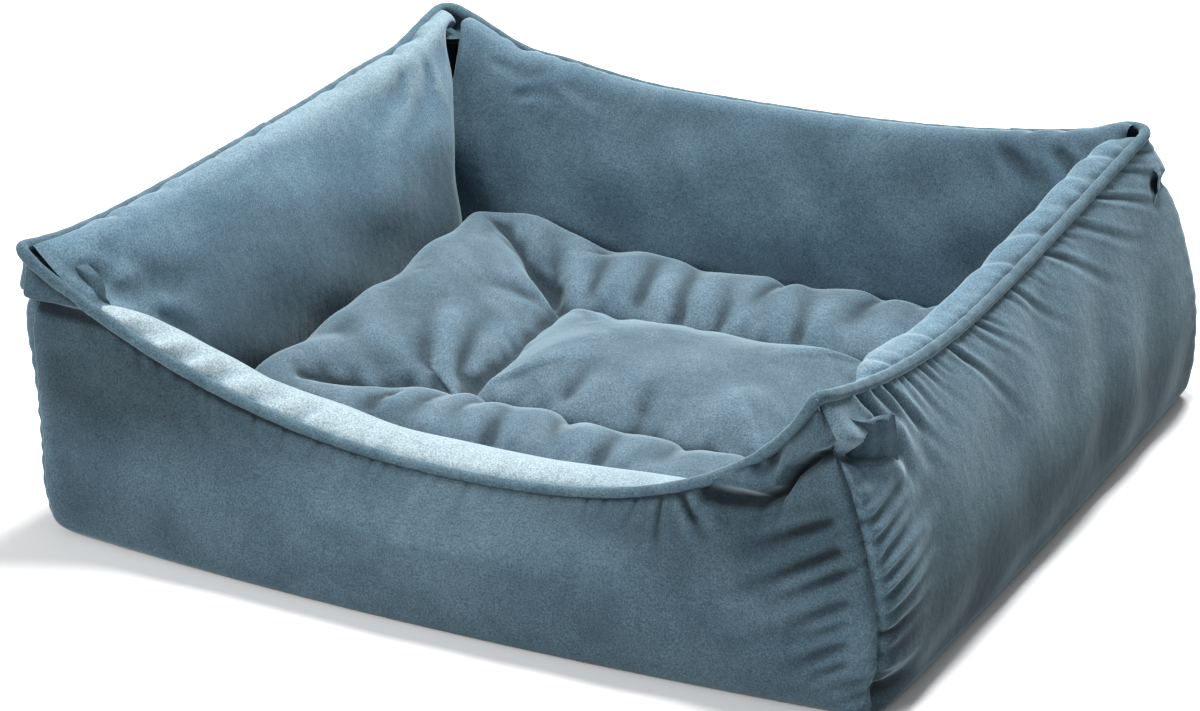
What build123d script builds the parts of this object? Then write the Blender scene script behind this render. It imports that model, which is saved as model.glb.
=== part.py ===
"""Rectangular bolster pet bed in velvet, with a piped crest and a loose quilted cushion.

Four stuffed bolsters stand round a flat base. Their crest dips along each side and rises to the four
corners, lowest at the front where the animal steps in. A fabric-covered piping runs in the seam between
the outer wall panels and the inner pillow panels. A loose cushion, quilted as a picture frame of four
borders round a middle square, lies in the well. It lifts straight out, and a zip closes it at the back.

Frame: millimetres, +Z up, origin at the centre of the base on the floor. The front is at -Y.
"""
import math
import os
from typing import NamedTuple

from build123d import *

# Overall size of the bed, at the belly of its walls
bed_width = 700.0
bed_depth = 670.0
corner_height = 238.0

# Height of the crest at the middle of each side, to the middle of the piping
front_dip_height = 106.0
right_dip_height = 201.0
rear_dip_height = 199.0
left_dip_height = 220.0

# How far inside its belly each wall stands at the crest: at its two corners, and in the middle of its dip
front_corner_lean = 4.0
front_middle_lean = 34.0
right_corner_lean = 28.0
right_middle_lean = 38.0
rear_corner_lean = 28.0
rear_middle_lean = 36.0
left_corner_lean = 12.0
left_middle_lean = 16.0

# The foot, the belly and the upright corners of the outer wall
wall_foot_inset = 14.0
wall_belly_height = 62.0
wall_belly_bow = 7.0
wall_foot_radius = 50.0
wall_crest_radius = 25.0

# Cloth and seams
panel_thickness = 2.0
base_thickness = 1.6
seam_gap = 0.3

# Piping round the crest
piping_diameter = 11.0
piping_cord_diameter = 7.4
piping_sleeve_wall = 1.6
piping_side_gap = 1.0
piping_join_gap = 0.4

# Bolsters
front_bolster_thickness = 112.0
side_bolster_thickness = 92.0
bolster_nose_height = 66.0
bolster_foot_inset = 24.0
bolster_crown_run = 32.0
bolster_crown_rise = 11.0
bolster_crown_round = 3.0
bolster_end_hollow = 18.0
bolster_end_gap = 0.6
bolster_valley_depth = 84.0
bolster_valley_half_width = 30.0

# Corner gussets, the single layer of cloth inside each top corner
gusset_height = 42.0
gusset_thickness = 1.6

# Floor of the sleeping well
floor_pad_thickness = 10.0
floor_cloth_thickness = 1.6
floor_corner_radius = 30.0

# Cushion
cushion_clearance = 1.2
cushion_corner_radius = 44.0
cushion_thickness = 84.0
cushion_seam_height = 52.0
cushion_side_draw = 6.0
cushion_bend_run = 18.0
cushion_band_rise = 5.0
cushion_band_height = 20.0
cushion_band_inset = 14.0
cushion_cover_thickness = 1.6
cushion_foot_inset = 34.0
cushion_crown_inset = 52.0
cushion_shoulder_drop = 20.0
cushion_shoulder_inset = 10.0
cushion_rim_drop = 5.0
cushion_rim_inset = 27.0

# Quilting of the cushion: a middle square and four mitred borders
quilt_width = 210.0
quilt_depth = 205.0
quilt_channel_depth = 27.0
quilt_channel_half_width = 30.0
quilt_channel_floor = 2.4
quilt_corner_reach = 46.0
quilt_thread_diameter = 1.0

# Zip of the cushion
zip_length = 280.0
zip_tape_height = 15.0
zip_tape_thickness = 0.8
zip_seat_gap = 0.1
zip_coil_width = 4.0
zip_coil_height = 1.8
zip_stop_length = 3.0
zip_slider_length = 10.0
zip_slider_width = 8.0
zip_slider_wall = 1.1
zip_running_gap = 0.25
zip_bridge_length = 6.0
zip_bridge_height = 2.4
zip_bridge_wall = 0.9
zip_pull_length = 15.0
zip_pull_width = 5.0
zip_pull_thickness = 1.0

# How the crest rises from the middle of a side to its corners
crest_rise_power = 3.6
crest_ease_power = 1.1
crest_point_shares = (0.0, 0.2, 0.4, 0.56, 0.7, 0.82, 0.91, 1.0)
crest_corner_flat = 34.0
arc_run_share = 0.45

# Where the outlines of the wall are set out, and how it leans between them
wall_curve_power = 1.5
wall_foot_shares = (0.0, 0.35, 0.7)
wall_upper_shares = (0.0, 0.12, 0.24, 0.46, 0.72, 1.0)

# Shapes of the soft forms
half_share = 0.5
valley_shoulder_share = 0.32
cushion_flat_share = 0.68
cushion_corner_share = 0.5
channel_across_share = 0.42
channel_up_share = 0.74

# Where the two lengths of piping are joined, from the middle of a side
left_join_share = 0.1
rear_join_share = 0.65

cut_overrun = 60.0
straight_bow = 0.01

half_width = bed_width / 2
half_depth = bed_depth / 2
piping_radius = piping_diameter / 2
seam_drop = piping_radius + seam_gap
well_half_x = half_width - side_bolster_thickness
well_half_y = half_depth - front_bolster_thickness
floor_top = base_thickness + floor_pad_thickness + floor_cloth_thickness


class Side(NamedTuple):
    """One side of the bed, as seen from outside with its own left end at -half and right end at +half."""

    half: float
    corner_lean: float
    middle_lean: float
    dip: float
    thickness: float
    turn: float
    middle: tuple


SIDES = {
    "front": Side(half_width, front_corner_lean, front_middle_lean, front_dip_height,
                  front_bolster_thickness, 0, (0.0, -half_depth)),
    "right": Side(half_depth, right_corner_lean, right_middle_lean, right_dip_height,
                  side_bolster_thickness, 90, (half_width, 0.0)),
    "rear": Side(half_width, rear_corner_lean, rear_middle_lean, rear_dip_height,
                 front_bolster_thickness, 180, (0.0, half_depth)),
    "left": Side(half_depth, left_corner_lean, left_middle_lean, left_dip_height,
                 side_bolster_thickness, 270, (-half_width, 0.0)),
}
SIDE_ORDER = ("front", "right", "rear", "left")


def beside(side, end):
    """The side that follows at the end +1, or comes before at the end -1."""
    return SIDE_ORDER[(SIDE_ORDER.index(side) + end) % len(SIDE_ORDER)]


def side_location(side):
    """Moves a piece drawn as u along the side, t inwards and z up to that side of the bed."""
    return Pos(*SIDES[side].middle) * Rot(0, 0, SIDES[side].turn)


def side_point(side, u, t, z):
    """A point of the bed from its place along, inside and above a side."""
    turn, middle = math.radians(SIDES[side].turn), SIDES[side].middle
    c, s = math.cos(turn), math.sin(turn)
    return Vector(middle[0] + u * c - t * s, middle[1] + u * s + t * c, z)


def wall_levels():
    """Heights of the outlines that the outer wall is lofted through."""
    rise = corner_height + piping_diameter - wall_belly_height
    return [wall_belly_height * share for share in wall_foot_shares] + [
        wall_belly_height + rise * share for share in wall_upper_shares
    ]


def wall_radius(z):
    """Radius of the wall's upright corners at height z, which tighten towards the crest."""
    return wall_foot_radius + (wall_crest_radius - wall_foot_radius) * z / corner_height


def corner_inset(side, z):
    """How far inside the belly a side's wall stands at its corners."""
    foot = wall_foot_inset * max(0.0, 1 - z / wall_belly_height) ** 2
    rise = max(0.0, z - wall_belly_height) / (corner_height - wall_belly_height)
    bow = wall_belly_bow * max(0.0, 1 - rise)
    return foot + bow + SIDES[side].corner_lean * rise**wall_curve_power


def middle_inset(side, z):
    """How far inside the belly a side's wall stands in the middle, as if it went on above its dip."""
    foot = wall_foot_inset * max(0.0, 1 - z / wall_belly_height) ** 2
    rise = max(0.0, z - wall_belly_height) / (SIDES[side].dip - wall_belly_height)
    return foot + SIDES[side].middle_lean * min(1.0, rise) ** wall_curve_power


def outline_corner(side, z, inset):
    """Corner between a side and the next one at height z, before it is rounded."""
    following = beside(side, 1)
    here = side_point(side, SIDES[side].half, corner_inset(side, z) + inset, z)
    there = side_point(following, -SIDES[following].half, corner_inset(following, z) + inset, z)
    return Vector(there.X, here.Y, z) if SIDES[side].turn % 180 == 0 else Vector(here.X, there.Y, z)


def wall_outline(z, inset):
    """Outline of the walls at height z, drawn in by inset: four bowed sides and rounded corners."""
    edges = []
    for side in SIDE_ORDER:
        start, stop = outline_corner(beside(side, -1), z, inset), outline_corner(side, z, inset)
        if abs(middle_inset(side, z) - corner_inset(side, z)) < straight_bow:
            edges.append(Line(start, stop))
        else:
            middle = (start + stop) * half_share
            local = side_point(side, 0, middle_inset(side, z) + inset, z)
            middle = Vector(middle.X, local.Y, z) if SIDES[side].turn % 180 == 0 else Vector(local.X, middle.Y, z)
            edges.append(ThreePointArc(start, middle, stop))
    face = make_face([edge.edge() for edge in edges])
    return fillet(face.vertices(), wall_radius(z) - inset)


def bowed_inset(side, u, z):
    """The inset of a side's wall at u on one of its outlines."""
    half = SIDES[side].half
    low, high = corner_inset(beside(side, -1), z) - half, half - corner_inset(beside(side, 1), z)
    corner, bow = corner_inset(side, z), middle_inset(side, z) - corner_inset(side, z)
    if abs(bow) < straight_bow:
        return corner
    radius = (((high - low) / 2) ** 2 + bow**2) / (2 * abs(bow))
    sag = radius - math.sqrt(radius**2 - (u - (low + high) / 2) ** 2)
    return corner + bow - math.copysign(sag, bow)


def wall_inset(side, u, z):
    """The inset of a side's wall at u and z, straight between the outlines."""
    levels = wall_levels()
    for low, high in zip(levels, levels[1:]):
        if z <= high:
            share = (z - low) / (high - low)
            return bowed_inset(side, u, low) * (1 - share) + bowed_inset(side, u, high) * share
    return bowed_inset(side, u, levels[-1])


def drum(inset):
    """The solid inside the outer walls, drawn in by inset all round."""
    return loft([wall_outline(z, inset) for z in wall_levels()], ruled=True)


def crest_reach(side, end):
    """How far along a side its crest has risen to the corner, towards the end at +1 or -1."""
    return SIDES[side].half - SIDES[beside(side, end)].corner_lean - crest_corner_flat


def crest_height(side, u):
    """Height of the middle of the piping at u along a side."""
    dip = SIDES[side].dip
    share = min(1.0, abs(u) / crest_reach(side, 1 if u > 0 else -1))
    eased = 1 - (1 - share**crest_rise_power) ** crest_ease_power
    return dip + (corner_height - dip) * eased


def seam_height(side, u):
    """Height of the seam under the piping, measured square to the crest's slope."""
    step = piping_radius
    slope = (crest_height(side, u + step) - crest_height(side, u - step)) / (2 * step)
    return crest_height(side, u) - seam_drop * math.sqrt(1 + slope**2)


def crest_stations(side):
    """Places along a side where the crest is set out, from one end of the dip to the other."""
    ahead = [crest_reach(side, 1) * share for share in crest_point_shares]
    behind = [-crest_reach(side, -1) * share for share in reversed(crest_point_shares[1:])]
    return behind + ahead


def arc_radii(points, corner_radii):
    """A radius for each inner point of a route, as large as its runs allow; the corners' are given."""
    turns = [
        math.radians((points[i] - points[i - 1]).get_angle(points[i + 1] - points[i]))
        for i in range(1, len(points) - 1)
    ]
    radii = []
    for i, turn in enumerate(turns, start=1):
        if i in corner_radii:
            radii.append(corner_radii[i])
            continue
        before, after = (points[i] - points[i - 1]).length, (points[i + 1] - points[i]).length
        if i - 1 in corner_radii:
            before -= corner_radii[i - 1]
        if i + 1 in corner_radii:
            after -= corner_radii[i + 1]
        radii.append(arc_run_share * min(before, after) / math.tan(turn / 2))
    return radii


def below_crest(side):
    """Everything under the seam of a side, as far in as the wall reaches."""
    half = SIDES[side].half
    end, deep = half + cut_overrun, -cut_overrun
    points = [Vector(-end, seam_height(side, -half))]
    points += [Vector(u, seam_height(side, u)) for u in crest_stations(side)]
    points += [Vector(end, seam_height(side, half))]
    top = FilletPolyline(*points, radius=arc_radii(points, {}))
    rest = Polyline(points[-1], (end, deep), (-end, deep), points[0])
    face = Plane.XZ * make_face(top.edges() + rest.edges())
    return side_location(side) * extrude(face, amount=SIDES[side].thickness, both=True)


def side_wedge(side):
    """The part of the plan that belongs to a side, cut off by the mitres at its two corners."""
    half, out, deep = SIDES[side].half, cut_overrun, SIDES[side].thickness
    plan = make_face(Polyline((-half - out, -out), (half + out, -out), (half - deep, deep), (deep - half, deep), close=True))
    return side_location(side) * extrude(plan, amount=corner_height + cut_overrun)


def crest_route():
    """The whole route of the piping, once round the bed, with the corner radii that it keeps."""
    places, points, corners = [], [], {}
    for side in SIDE_ORDER:
        for u in crest_stations(side):
            z = crest_height(side, u)
            places.append((side, u))
            points.append(side_point(side, u, wall_inset(side, u, z - seam_drop) + panel_thickness, z))
        at = outline_corner(side, corner_height - seam_drop, panel_thickness)
        corners[len(points)] = wall_crest_radius - panel_thickness
        places.append((side, None))
        points.append(Vector(at.X, at.Y, corner_height))
    return places, points, corners


def piping_route(start, stop):
    """The stretch of the piping from one join to the other, as a wire of runs and tangent arcs."""
    _, points, corners = crest_route()
    count = len(points)
    place = [i % count for i in range(start, stop + 1 if stop > start else stop + count + 1)]
    route = [points[i] for i in place]
    bends = {n: corners[i] for n, i in enumerate(place) if i in corners}
    first, last = route[1] - route[0], route[-1] - route[-2]
    route[0] = route[0] + first.normalized() * (piping_join_gap / 2)
    route[-1] = route[-1] - last.normalized() * (piping_join_gap / 2)
    return FilletPolyline(*route, radius=arc_radii(route, bends))


def piping_joins():
    """The two points of the route where the lengths of piping meet, on the rear and on the left."""
    places, _, _ = crest_route()
    rear = next(i for i, at in enumerate(places) if at[0] == "rear" and at[1] >= rear_join_share * half_width)
    left = next(i for i, at in enumerate(places) if at[0] == "left" and at[1] >= left_join_share * half_depth)
    return rear, left


def along_piping(route, profile):
    """A solid of one cross-section along a length of the piping."""
    return sweep(Plane(origin=route @ 0, z_dir=route % 0) * profile, path=route)


def nose_radius(run, rise):
    """Radius of the arc that leaves the nose upright and ends so far back and up or down."""
    return (run**2 + rise**2) / (2 * run)


def heel_room(z):
    """How far the heel of a bolster stands back from its nose at height z."""
    radius = nose_radius(bolster_foot_inset, bolster_nose_height - base_thickness)
    return radius - math.sqrt(radius**2 - (bolster_nose_height - z) ** 2)


def bolster_section(side, u, inset):
    """Outline of a bolster across its length: flat to the wall, crowned on top and full at the nose."""
    top, low, far = seam_height(side, u), base_thickness, SIDES[side].thickness
    start = wall_inset(side, u, top) + panel_thickness + piping_radius + piping_side_gap
    start_at = Vector(start, top - inset)
    crown_at = Vector(start + bolster_crown_run, top + bolster_crown_rise - inset)
    nose_at = Vector(far - inset, bolster_nose_height)
    heel_at = Vector(far - bolster_foot_inset - inset, low)
    back = -cut_overrun

    def upright_arc(end):
        """An arc that leaves the nose upright, so that nothing stands further out than the nose."""
        radius = nose_radius(nose_at.X - end.X, end.Y - nose_at.Y)
        turn = math.atan2(end.Y - nose_at.Y, radius - (nose_at.X - end.X)) / 2
        reach = Vector(math.cos(turn) - 1, math.sin(turn)) * radius
        return nose_at + reach

    crown_by = (start_at + crown_at) * half_share + Vector(0, bolster_crown_round)
    edges = Polyline(heel_at, (back, low), (back, top - inset), start_at).edges()
    edges += ThreePointArc(start_at, crown_by, crown_at).edges()
    edges += ThreePointArc(crown_at, upright_arc(crown_at), nose_at).edges()
    edges += ThreePointArc(nose_at, upright_arc(heel_at), heel_at).edges()
    upright = Plane(origin=(u, 0, 0), x_dir=(0, 1, 0), z_dir=(1, 0, 0))
    return upright * make_face(edges)


def bolster_plan(side, inset):
    """The room a bolster has in plan: square ends at the corner hollows, then mitres to the next ones."""
    half, deep = SIDES[side].half, SIDES[side].thickness
    gap = bolster_end_gap + inset
    ends = []
    for end in (-1, 1):
        across = SIDES[beside(side, end)]
        hollow = across.corner_lean + bolster_end_hollow
        slope = across.thickness / deep
        beyond = deep + cut_overrun
        mitre = [(half - hollow - gap, -cut_overrun), (half - hollow - gap, hollow / slope),
                 (half - gap - beyond * slope, beyond)]
        ends.append([(end * u, t) for u, t in mitre])
    plan = make_face(Polyline(*reversed(ends[0]), *ends[1], close=True))
    return side_location(side) * extrude(plan, amount=corner_height + cut_overrun)


def corner_valley(side, inset):
    """The cut that rounds two bolster ends down into the gap between them, at the corner after a side."""
    here, across = SIDES[side], SIDES[beside(side, 1)]
    top = corner_height + bolster_crown_rise
    high = top + cut_overrun
    low = top - bolster_valley_depth - inset
    wide = bolster_valley_half_width + inset
    shoulder = (wide * valley_shoulder_share, low + (top - low) * (1 - valley_shoulder_share))
    edges = ThreePointArc((0, low), shoulder, (wide, top)).edges()
    edges += Polyline((wide, top), (wide, high), (-wide, high), (-wide, top)).edges()
    edges += ThreePointArc((-wide, top), (-shoulder[0], shoulder[1]), (0, low)).edges()
    outwards = Vector(across.thickness, -here.thickness)
    inner = Vector(here.half - across.thickness, here.thickness) - outwards.normalized() * cut_overrun
    across_plane = Plane(origin=inner, x_dir=(here.thickness, across.thickness, 0), z_dir=outwards)
    cutter = extrude(across_plane * make_face(edges), amount=outwards.length + cut_overrun)
    return side_location(side) * cutter


def bolster_body(side, inset):
    """The space inside a bolster's pillow panel, drawn in by inset, still open to the outer wall."""
    half = SIDES[side].half
    stations = [-half] + crest_stations(side) + [half]
    body = side_location(side) * loft([bolster_section(side, u, inset) for u in stations], ruled=True)
    body &= bolster_plan(side, inset)
    return body - corner_valley(side, inset) - corner_valley(beside(side, -1), inset)


def corner_gusset(side, layer):
    """The gathered layer inside the corner that follows a side."""
    here, across = SIDES[side], SIDES[beside(side, 1)]
    along, deep = across.corner_lean + bolster_end_hollow, here.corner_lean + bolster_end_hollow
    block = Box(along, deep, gusset_height, align=(Align.MAX, Align.MIN, Align.MAX))
    return layer & (side_location(side) * Pos(here.half, 0, seam_height(side, here.half)) * block)


def floor_piece(bottom, thickness):
    """A flat layer of the floor, between the heels of the bolsters."""
    room = heel_room(floor_top) - seam_gap
    plan = RectangleRounded(2 * (well_half_x + room), 2 * (well_half_y + room), floor_corner_radius)
    return extrude(Pos(0, 0, bottom) * plan, amount=thickness)


def cushion_outline(inset, z):
    """Outline of the cushion: straight in the middle of each side, and out to the corners from there."""
    half_x = well_half_x - cushion_clearance - inset
    half_y = well_half_y - cushion_clearance - inset
    draw = cushion_side_draw
    quarter = [
        Vector(half_x - draw, half_y * cushion_flat_share),
        Vector(half_x, half_y),
        Vector(half_x * cushion_flat_share, half_y - draw),
    ]
    points = list(quarter)
    points += [Vector(-point.X, point.Y) for point in reversed(quarter)]
    points += [Vector(-point.X, -point.Y) for point in quarter]
    points += [Vector(point.X, -point.Y) for point in reversed(quarter)]
    turns = [
        math.radians((points[i] - points[i - 1]).get_angle(points[(i + 1) % len(points)] - points[i]))
        for i in range(len(points))
    ]
    corner = cushion_corner_radius - inset * cushion_corner_share
    radii = [corner if i % 3 == 1 else cushion_bend_run / math.tan(turns[i] / 2) for i in range(len(points))]
    wire = FilletPolyline(*points, radius=radii, close=True)
    return Pos(0, 0, z) * make_face(wire.edges())


def cushion_levels(inset):
    """Heights and insets of the outlines that the cushion is lofted through, drawn in by inset."""
    bottom, top = floor_top + inset, floor_top + cushion_thickness - inset
    band = floor_top + cushion_band_rise
    return [
        (bottom, cushion_foot_inset + inset),
        (band, cushion_band_inset + inset),
        (band + cushion_band_height, cushion_band_inset + inset),
        (cushion_seam_height, inset),
        (top - cushion_shoulder_drop, cushion_shoulder_inset + inset),
        (top - cushion_rim_drop, cushion_rim_inset + inset),
        (top, cushion_crown_inset + inset),
    ]


def quilt_lines():
    """The eight stitched lines of the quilting in plan: the middle square and the mitres to the corners."""
    x, y = quilt_width / 2, quilt_depth / 2
    square = [(x, -y), (x, y), (-x, y), (-x, -y)]
    lines = [(square[i - 1], square[i]) for i in range(len(square))]
    reach_x, reach_y = well_half_x - quilt_corner_reach, well_half_y - quilt_corner_reach
    lines += [((sx * x, sy * y), (sx * reach_x, sy * reach_y)) for sx in (-1, 1) for sy in (-1, 1)]
    return lines


def quilt_channel(start, stop, inset):
    """The cut that shapes one stitched channel: two round shoulders that meet in a narrow floor."""
    top = floor_top + cushion_thickness
    low, high = top - quilt_channel_depth - inset, top + cut_overrun
    foot = quilt_channel_floor / 2 + inset
    rim = quilt_channel_half_width + inset
    shoulder_x = foot + (rim - foot) * channel_across_share
    shoulder_z = low + (top - low) * channel_up_share
    edges = ThreePointArc((foot, low), (shoulder_x, shoulder_z), (rim, top)).edges()
    edges += Polyline((rim, top), (rim, high), (-rim, high), (-rim, top)).edges()
    edges += ThreePointArc((-rim, top), (-shoulder_x, shoulder_z), (-foot, low)).edges()
    edges += Line((-foot, low), (foot, low)).edges()
    along = Vector(*stop) - Vector(*start)
    across = Plane(origin=start, x_dir=(-along.Y, along.X, 0), z_dir=along)
    return extrude(across * make_face(edges), amount=along.length)


def cushion_body(inset):
    """The cushion with its channels, drawn in by inset."""
    body = loft([cushion_outline(draw, z) for z, draw in cushion_levels(inset)], ruled=True)
    for start, stop in quilt_lines():
        body -= quilt_channel(start, stop, inset)
    return body


def quilting_thread():
    """The thread that lies in the floor of each channel, one run to each line."""
    z = floor_top + cushion_thickness - quilt_channel_depth + quilt_thread_diameter / 2
    threads = []
    for start, stop in quilt_lines():
        start, stop = Vector(*start, z), Vector(*stop, z)
        step = (stop - start).normalized() * quilt_thread_diameter
        across = Plane(origin=start + step, z_dir=step)
        threads.append(extrude(across * Circle(quilt_thread_diameter / 2), amount=(stop - start - 2 * step).length))
    return Compound(children=threads)


# The zip lies on the back of the cushion's upright band
zip_z = floor_top + cushion_band_rise + cushion_band_height / 2
zip_face = well_half_y - cushion_clearance - cushion_band_inset - cushion_side_draw + zip_seat_gap
coil_face = zip_face + zip_tape_thickness
slider_x = zip_length / 2 - zip_slider_length / 2
slider_back = coil_face + zip_running_gap
slider_face = coil_face + zip_coil_height + zip_running_gap + zip_slider_wall
bridge_room = zip_bridge_height - zip_bridge_wall
hinge_y = slider_face + bridge_room / 2
ON_BACK = (Align.CENTER, Align.MIN, Align.CENTER)


def zip_tape():
    """Both woven tapes of the closed zip, as one flat strip."""
    length = zip_length + 2 * zip_stop_length
    return Pos(0, zip_face, zip_z) * Box(length, zip_tape_thickness, zip_tape_height, align=ON_BACK)


def zip_coil():
    """The closed coil down the middle of the tapes."""
    return Pos(0, coil_face, zip_z) * Box(zip_length, zip_coil_height, zip_coil_width, align=ON_BACK)


def zip_stops():
    """The two metal stops at the ends of the coil."""
    stop = Box(zip_stop_length, zip_coil_height, zip_coil_width, align=ON_BACK)
    place = (zip_length + zip_stop_length) / 2
    return Compound(children=[Pos(end * place, coil_face, zip_z) * stop for end in (-1, 1)])


def zip_slider():
    """The slider: a channel over the coil, and a bridge that holds the pull."""
    body = Pos(0, slider_back, 0) * Box(zip_slider_length, slider_face - slider_back, zip_slider_width, align=ON_BACK)
    room = Box(zip_slider_length, slider_face - zip_slider_wall - slider_back, zip_coil_width + 2 * zip_running_gap,
               align=ON_BACK)
    bridge = Box(zip_bridge_length, zip_bridge_height, 2 * zip_bridge_wall, align=ON_BACK)
    bridge -= Box(zip_bridge_length - 2 * zip_bridge_wall, bridge_room, 2 * zip_bridge_wall, align=ON_BACK)
    slider = body - Pos(0, slider_back, 0) * room + Pos(0, slider_face, 0) * bridge
    return Pos(slider_x, 0, zip_z) * slider


def zip_pull():
    """The pull: a bar under the bridge, two arms past it and a tab, lying flat along the closed zip."""
    bar = zip_pull_thickness
    flat = (Align.MAX, Align.CENTER, Align.CENTER)
    plate = Pos(bar / 2, 0, 0) * Box(zip_pull_length, bar, zip_pull_width, align=flat)
    window = Box((zip_bridge_length - bar) / 2 + zip_bridge_wall, bar, 2 * (zip_bridge_wall + zip_running_gap), align=flat)
    return Pos(slider_x, hinge_y, zip_z) * (plate - Pos(-bar / 2, 0, 0) * window)


def make_pieces():
    """Every piece of the bed by its name."""
    pieces = {}
    outside = drum(0.0)
    base = Box(bed_width, bed_depth, base_thickness, align=(Align.CENTER, Align.CENTER, Align.MIN))
    pieces["base_cloth"] = outside & base
    shell = outside - base - drum(panel_thickness)
    inside_wall = drum(panel_thickness + seam_gap)
    inside_fill = drum(panel_thickness + 2 * seam_gap)

    rear_join, left_join = piping_joins()
    routes = {"rear": piping_route(rear_join, left_join), "front": piping_route(left_join, rear_join)}
    sleeve = Circle(piping_radius) - Circle(piping_radius - piping_sleeve_wall)
    clear = {name: along_piping(route, Circle(piping_radius + seam_gap)) for name, route in routes.items()}
    for name, route in routes.items():
        pieces[f"{name}_piping"] = along_piping(route, sleeve)
        pieces[f"{name}_piping_cord"] = along_piping(route, Circle(piping_cord_diameter / 2))

    for side in SIDE_ORDER:
        wall = shell & side_wedge(side) & below_crest(side)
        skin = (bolster_body(side, 0.0) - bolster_body(side, panel_thickness)) & inside_wall
        fill = bolster_body(side, panel_thickness + seam_gap) & inside_fill
        for cut in clear.values():
            wall, skin, fill = wall - cut, skin - cut, fill - cut
        pieces[f"{side}_outer_panel"] = wall
        pieces[f"{side}_inner_panel"] = largest_only(skin)
        pieces[f"{side}_bolster_fill"] = fill
    layer = inside_wall - drum(panel_thickness + seam_gap + gusset_thickness)
    corner_names = {"front": "front_right", "right": "rear_right", "rear": "rear_left", "left": "front_left"}
    for side, name in corner_names.items():
        pieces[f"{name}_gusset"] = corner_gusset(side, layer)

    pieces["floor_pad"] = floor_piece(base_thickness, floor_pad_thickness)
    pieces["floor_cloth"] = floor_piece(base_thickness + floor_pad_thickness, floor_cloth_thickness)
    cover = cushion_body(0.0) - cushion_body(cushion_cover_thickness)
    seam = Plane.XY.offset(cushion_seam_height)
    pieces["cushion_top_cover"] = split(cover, seam, keep=Keep.TOP)
    pieces["cushion_bottom_cover"] = split(cover, seam, keep=Keep.BOTTOM)
    pieces["cushion_fill"] = cushion_body(cushion_cover_thickness + seam_gap)
    pieces["quilting_thread"] = quilting_thread()
    pieces["zip_tape"] = zip_tape()
    pieces["zip_coil"] = zip_coil()
    pieces["zip_stops"] = zip_stops()
    pieces["zip_slider"] = zip_slider()
    pieces["zip_pull"] = zip_pull()
    return pieces


def largest_only(piece):
    """A piece without the shreds that a grazing cut leaves beside it."""
    solids = piece.solids().sort_by(SortBy.VOLUME)
    return solids[-1]


if __name__ == "__main__":
    os.makedirs("parts", exist_ok=True)
    for name, piece in make_pieces().items():
        print(name, len(piece.solids()), [round(solid.volume, 2) for solid in piece.solids()][:6])
        export_step(piece, f"parts/{name}.step")
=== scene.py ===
import math

import bpy
import numpy as np
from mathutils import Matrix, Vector


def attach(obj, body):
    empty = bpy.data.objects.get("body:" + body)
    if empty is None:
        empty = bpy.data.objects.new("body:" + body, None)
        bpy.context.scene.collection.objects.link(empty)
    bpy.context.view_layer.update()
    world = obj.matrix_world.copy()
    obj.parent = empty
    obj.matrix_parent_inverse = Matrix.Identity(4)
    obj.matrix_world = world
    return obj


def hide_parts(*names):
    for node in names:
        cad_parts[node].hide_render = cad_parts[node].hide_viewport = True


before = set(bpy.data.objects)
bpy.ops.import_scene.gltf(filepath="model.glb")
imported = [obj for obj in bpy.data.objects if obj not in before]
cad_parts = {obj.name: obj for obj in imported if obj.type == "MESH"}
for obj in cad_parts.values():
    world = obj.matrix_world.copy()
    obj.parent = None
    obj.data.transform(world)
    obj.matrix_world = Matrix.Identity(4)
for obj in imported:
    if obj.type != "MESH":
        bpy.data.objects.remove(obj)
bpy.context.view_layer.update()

MM = 0.001

# Sizes of the bed in millimetres, as in the part's source
BED_WIDTH, BED_DEPTH = 700.0, 670.0
LONG_BOLSTER, SHORT_BOLSTER = 112.0, 92.0
PIPING_RADIUS = 5.5
BELLY_HEIGHT = 68.0
NOSE_HEIGHT = 66.0
FLOOR_TOP = 13.4
# How the outer walls curve in at the floor: how far, and over what height
FOOT_INSET, FOOT_HEIGHT = 3.0, 44.0
HEEL_ROUND, HEEL_HEIGHT = 4.0, 10.0
# Rounding of the upright corners at the foot and at the crest, and how high a corner stands
FOOT_CORNER, CREST_CORNER, CORNER_HEIGHT = 24.0, 16.0, 240.0

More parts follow.
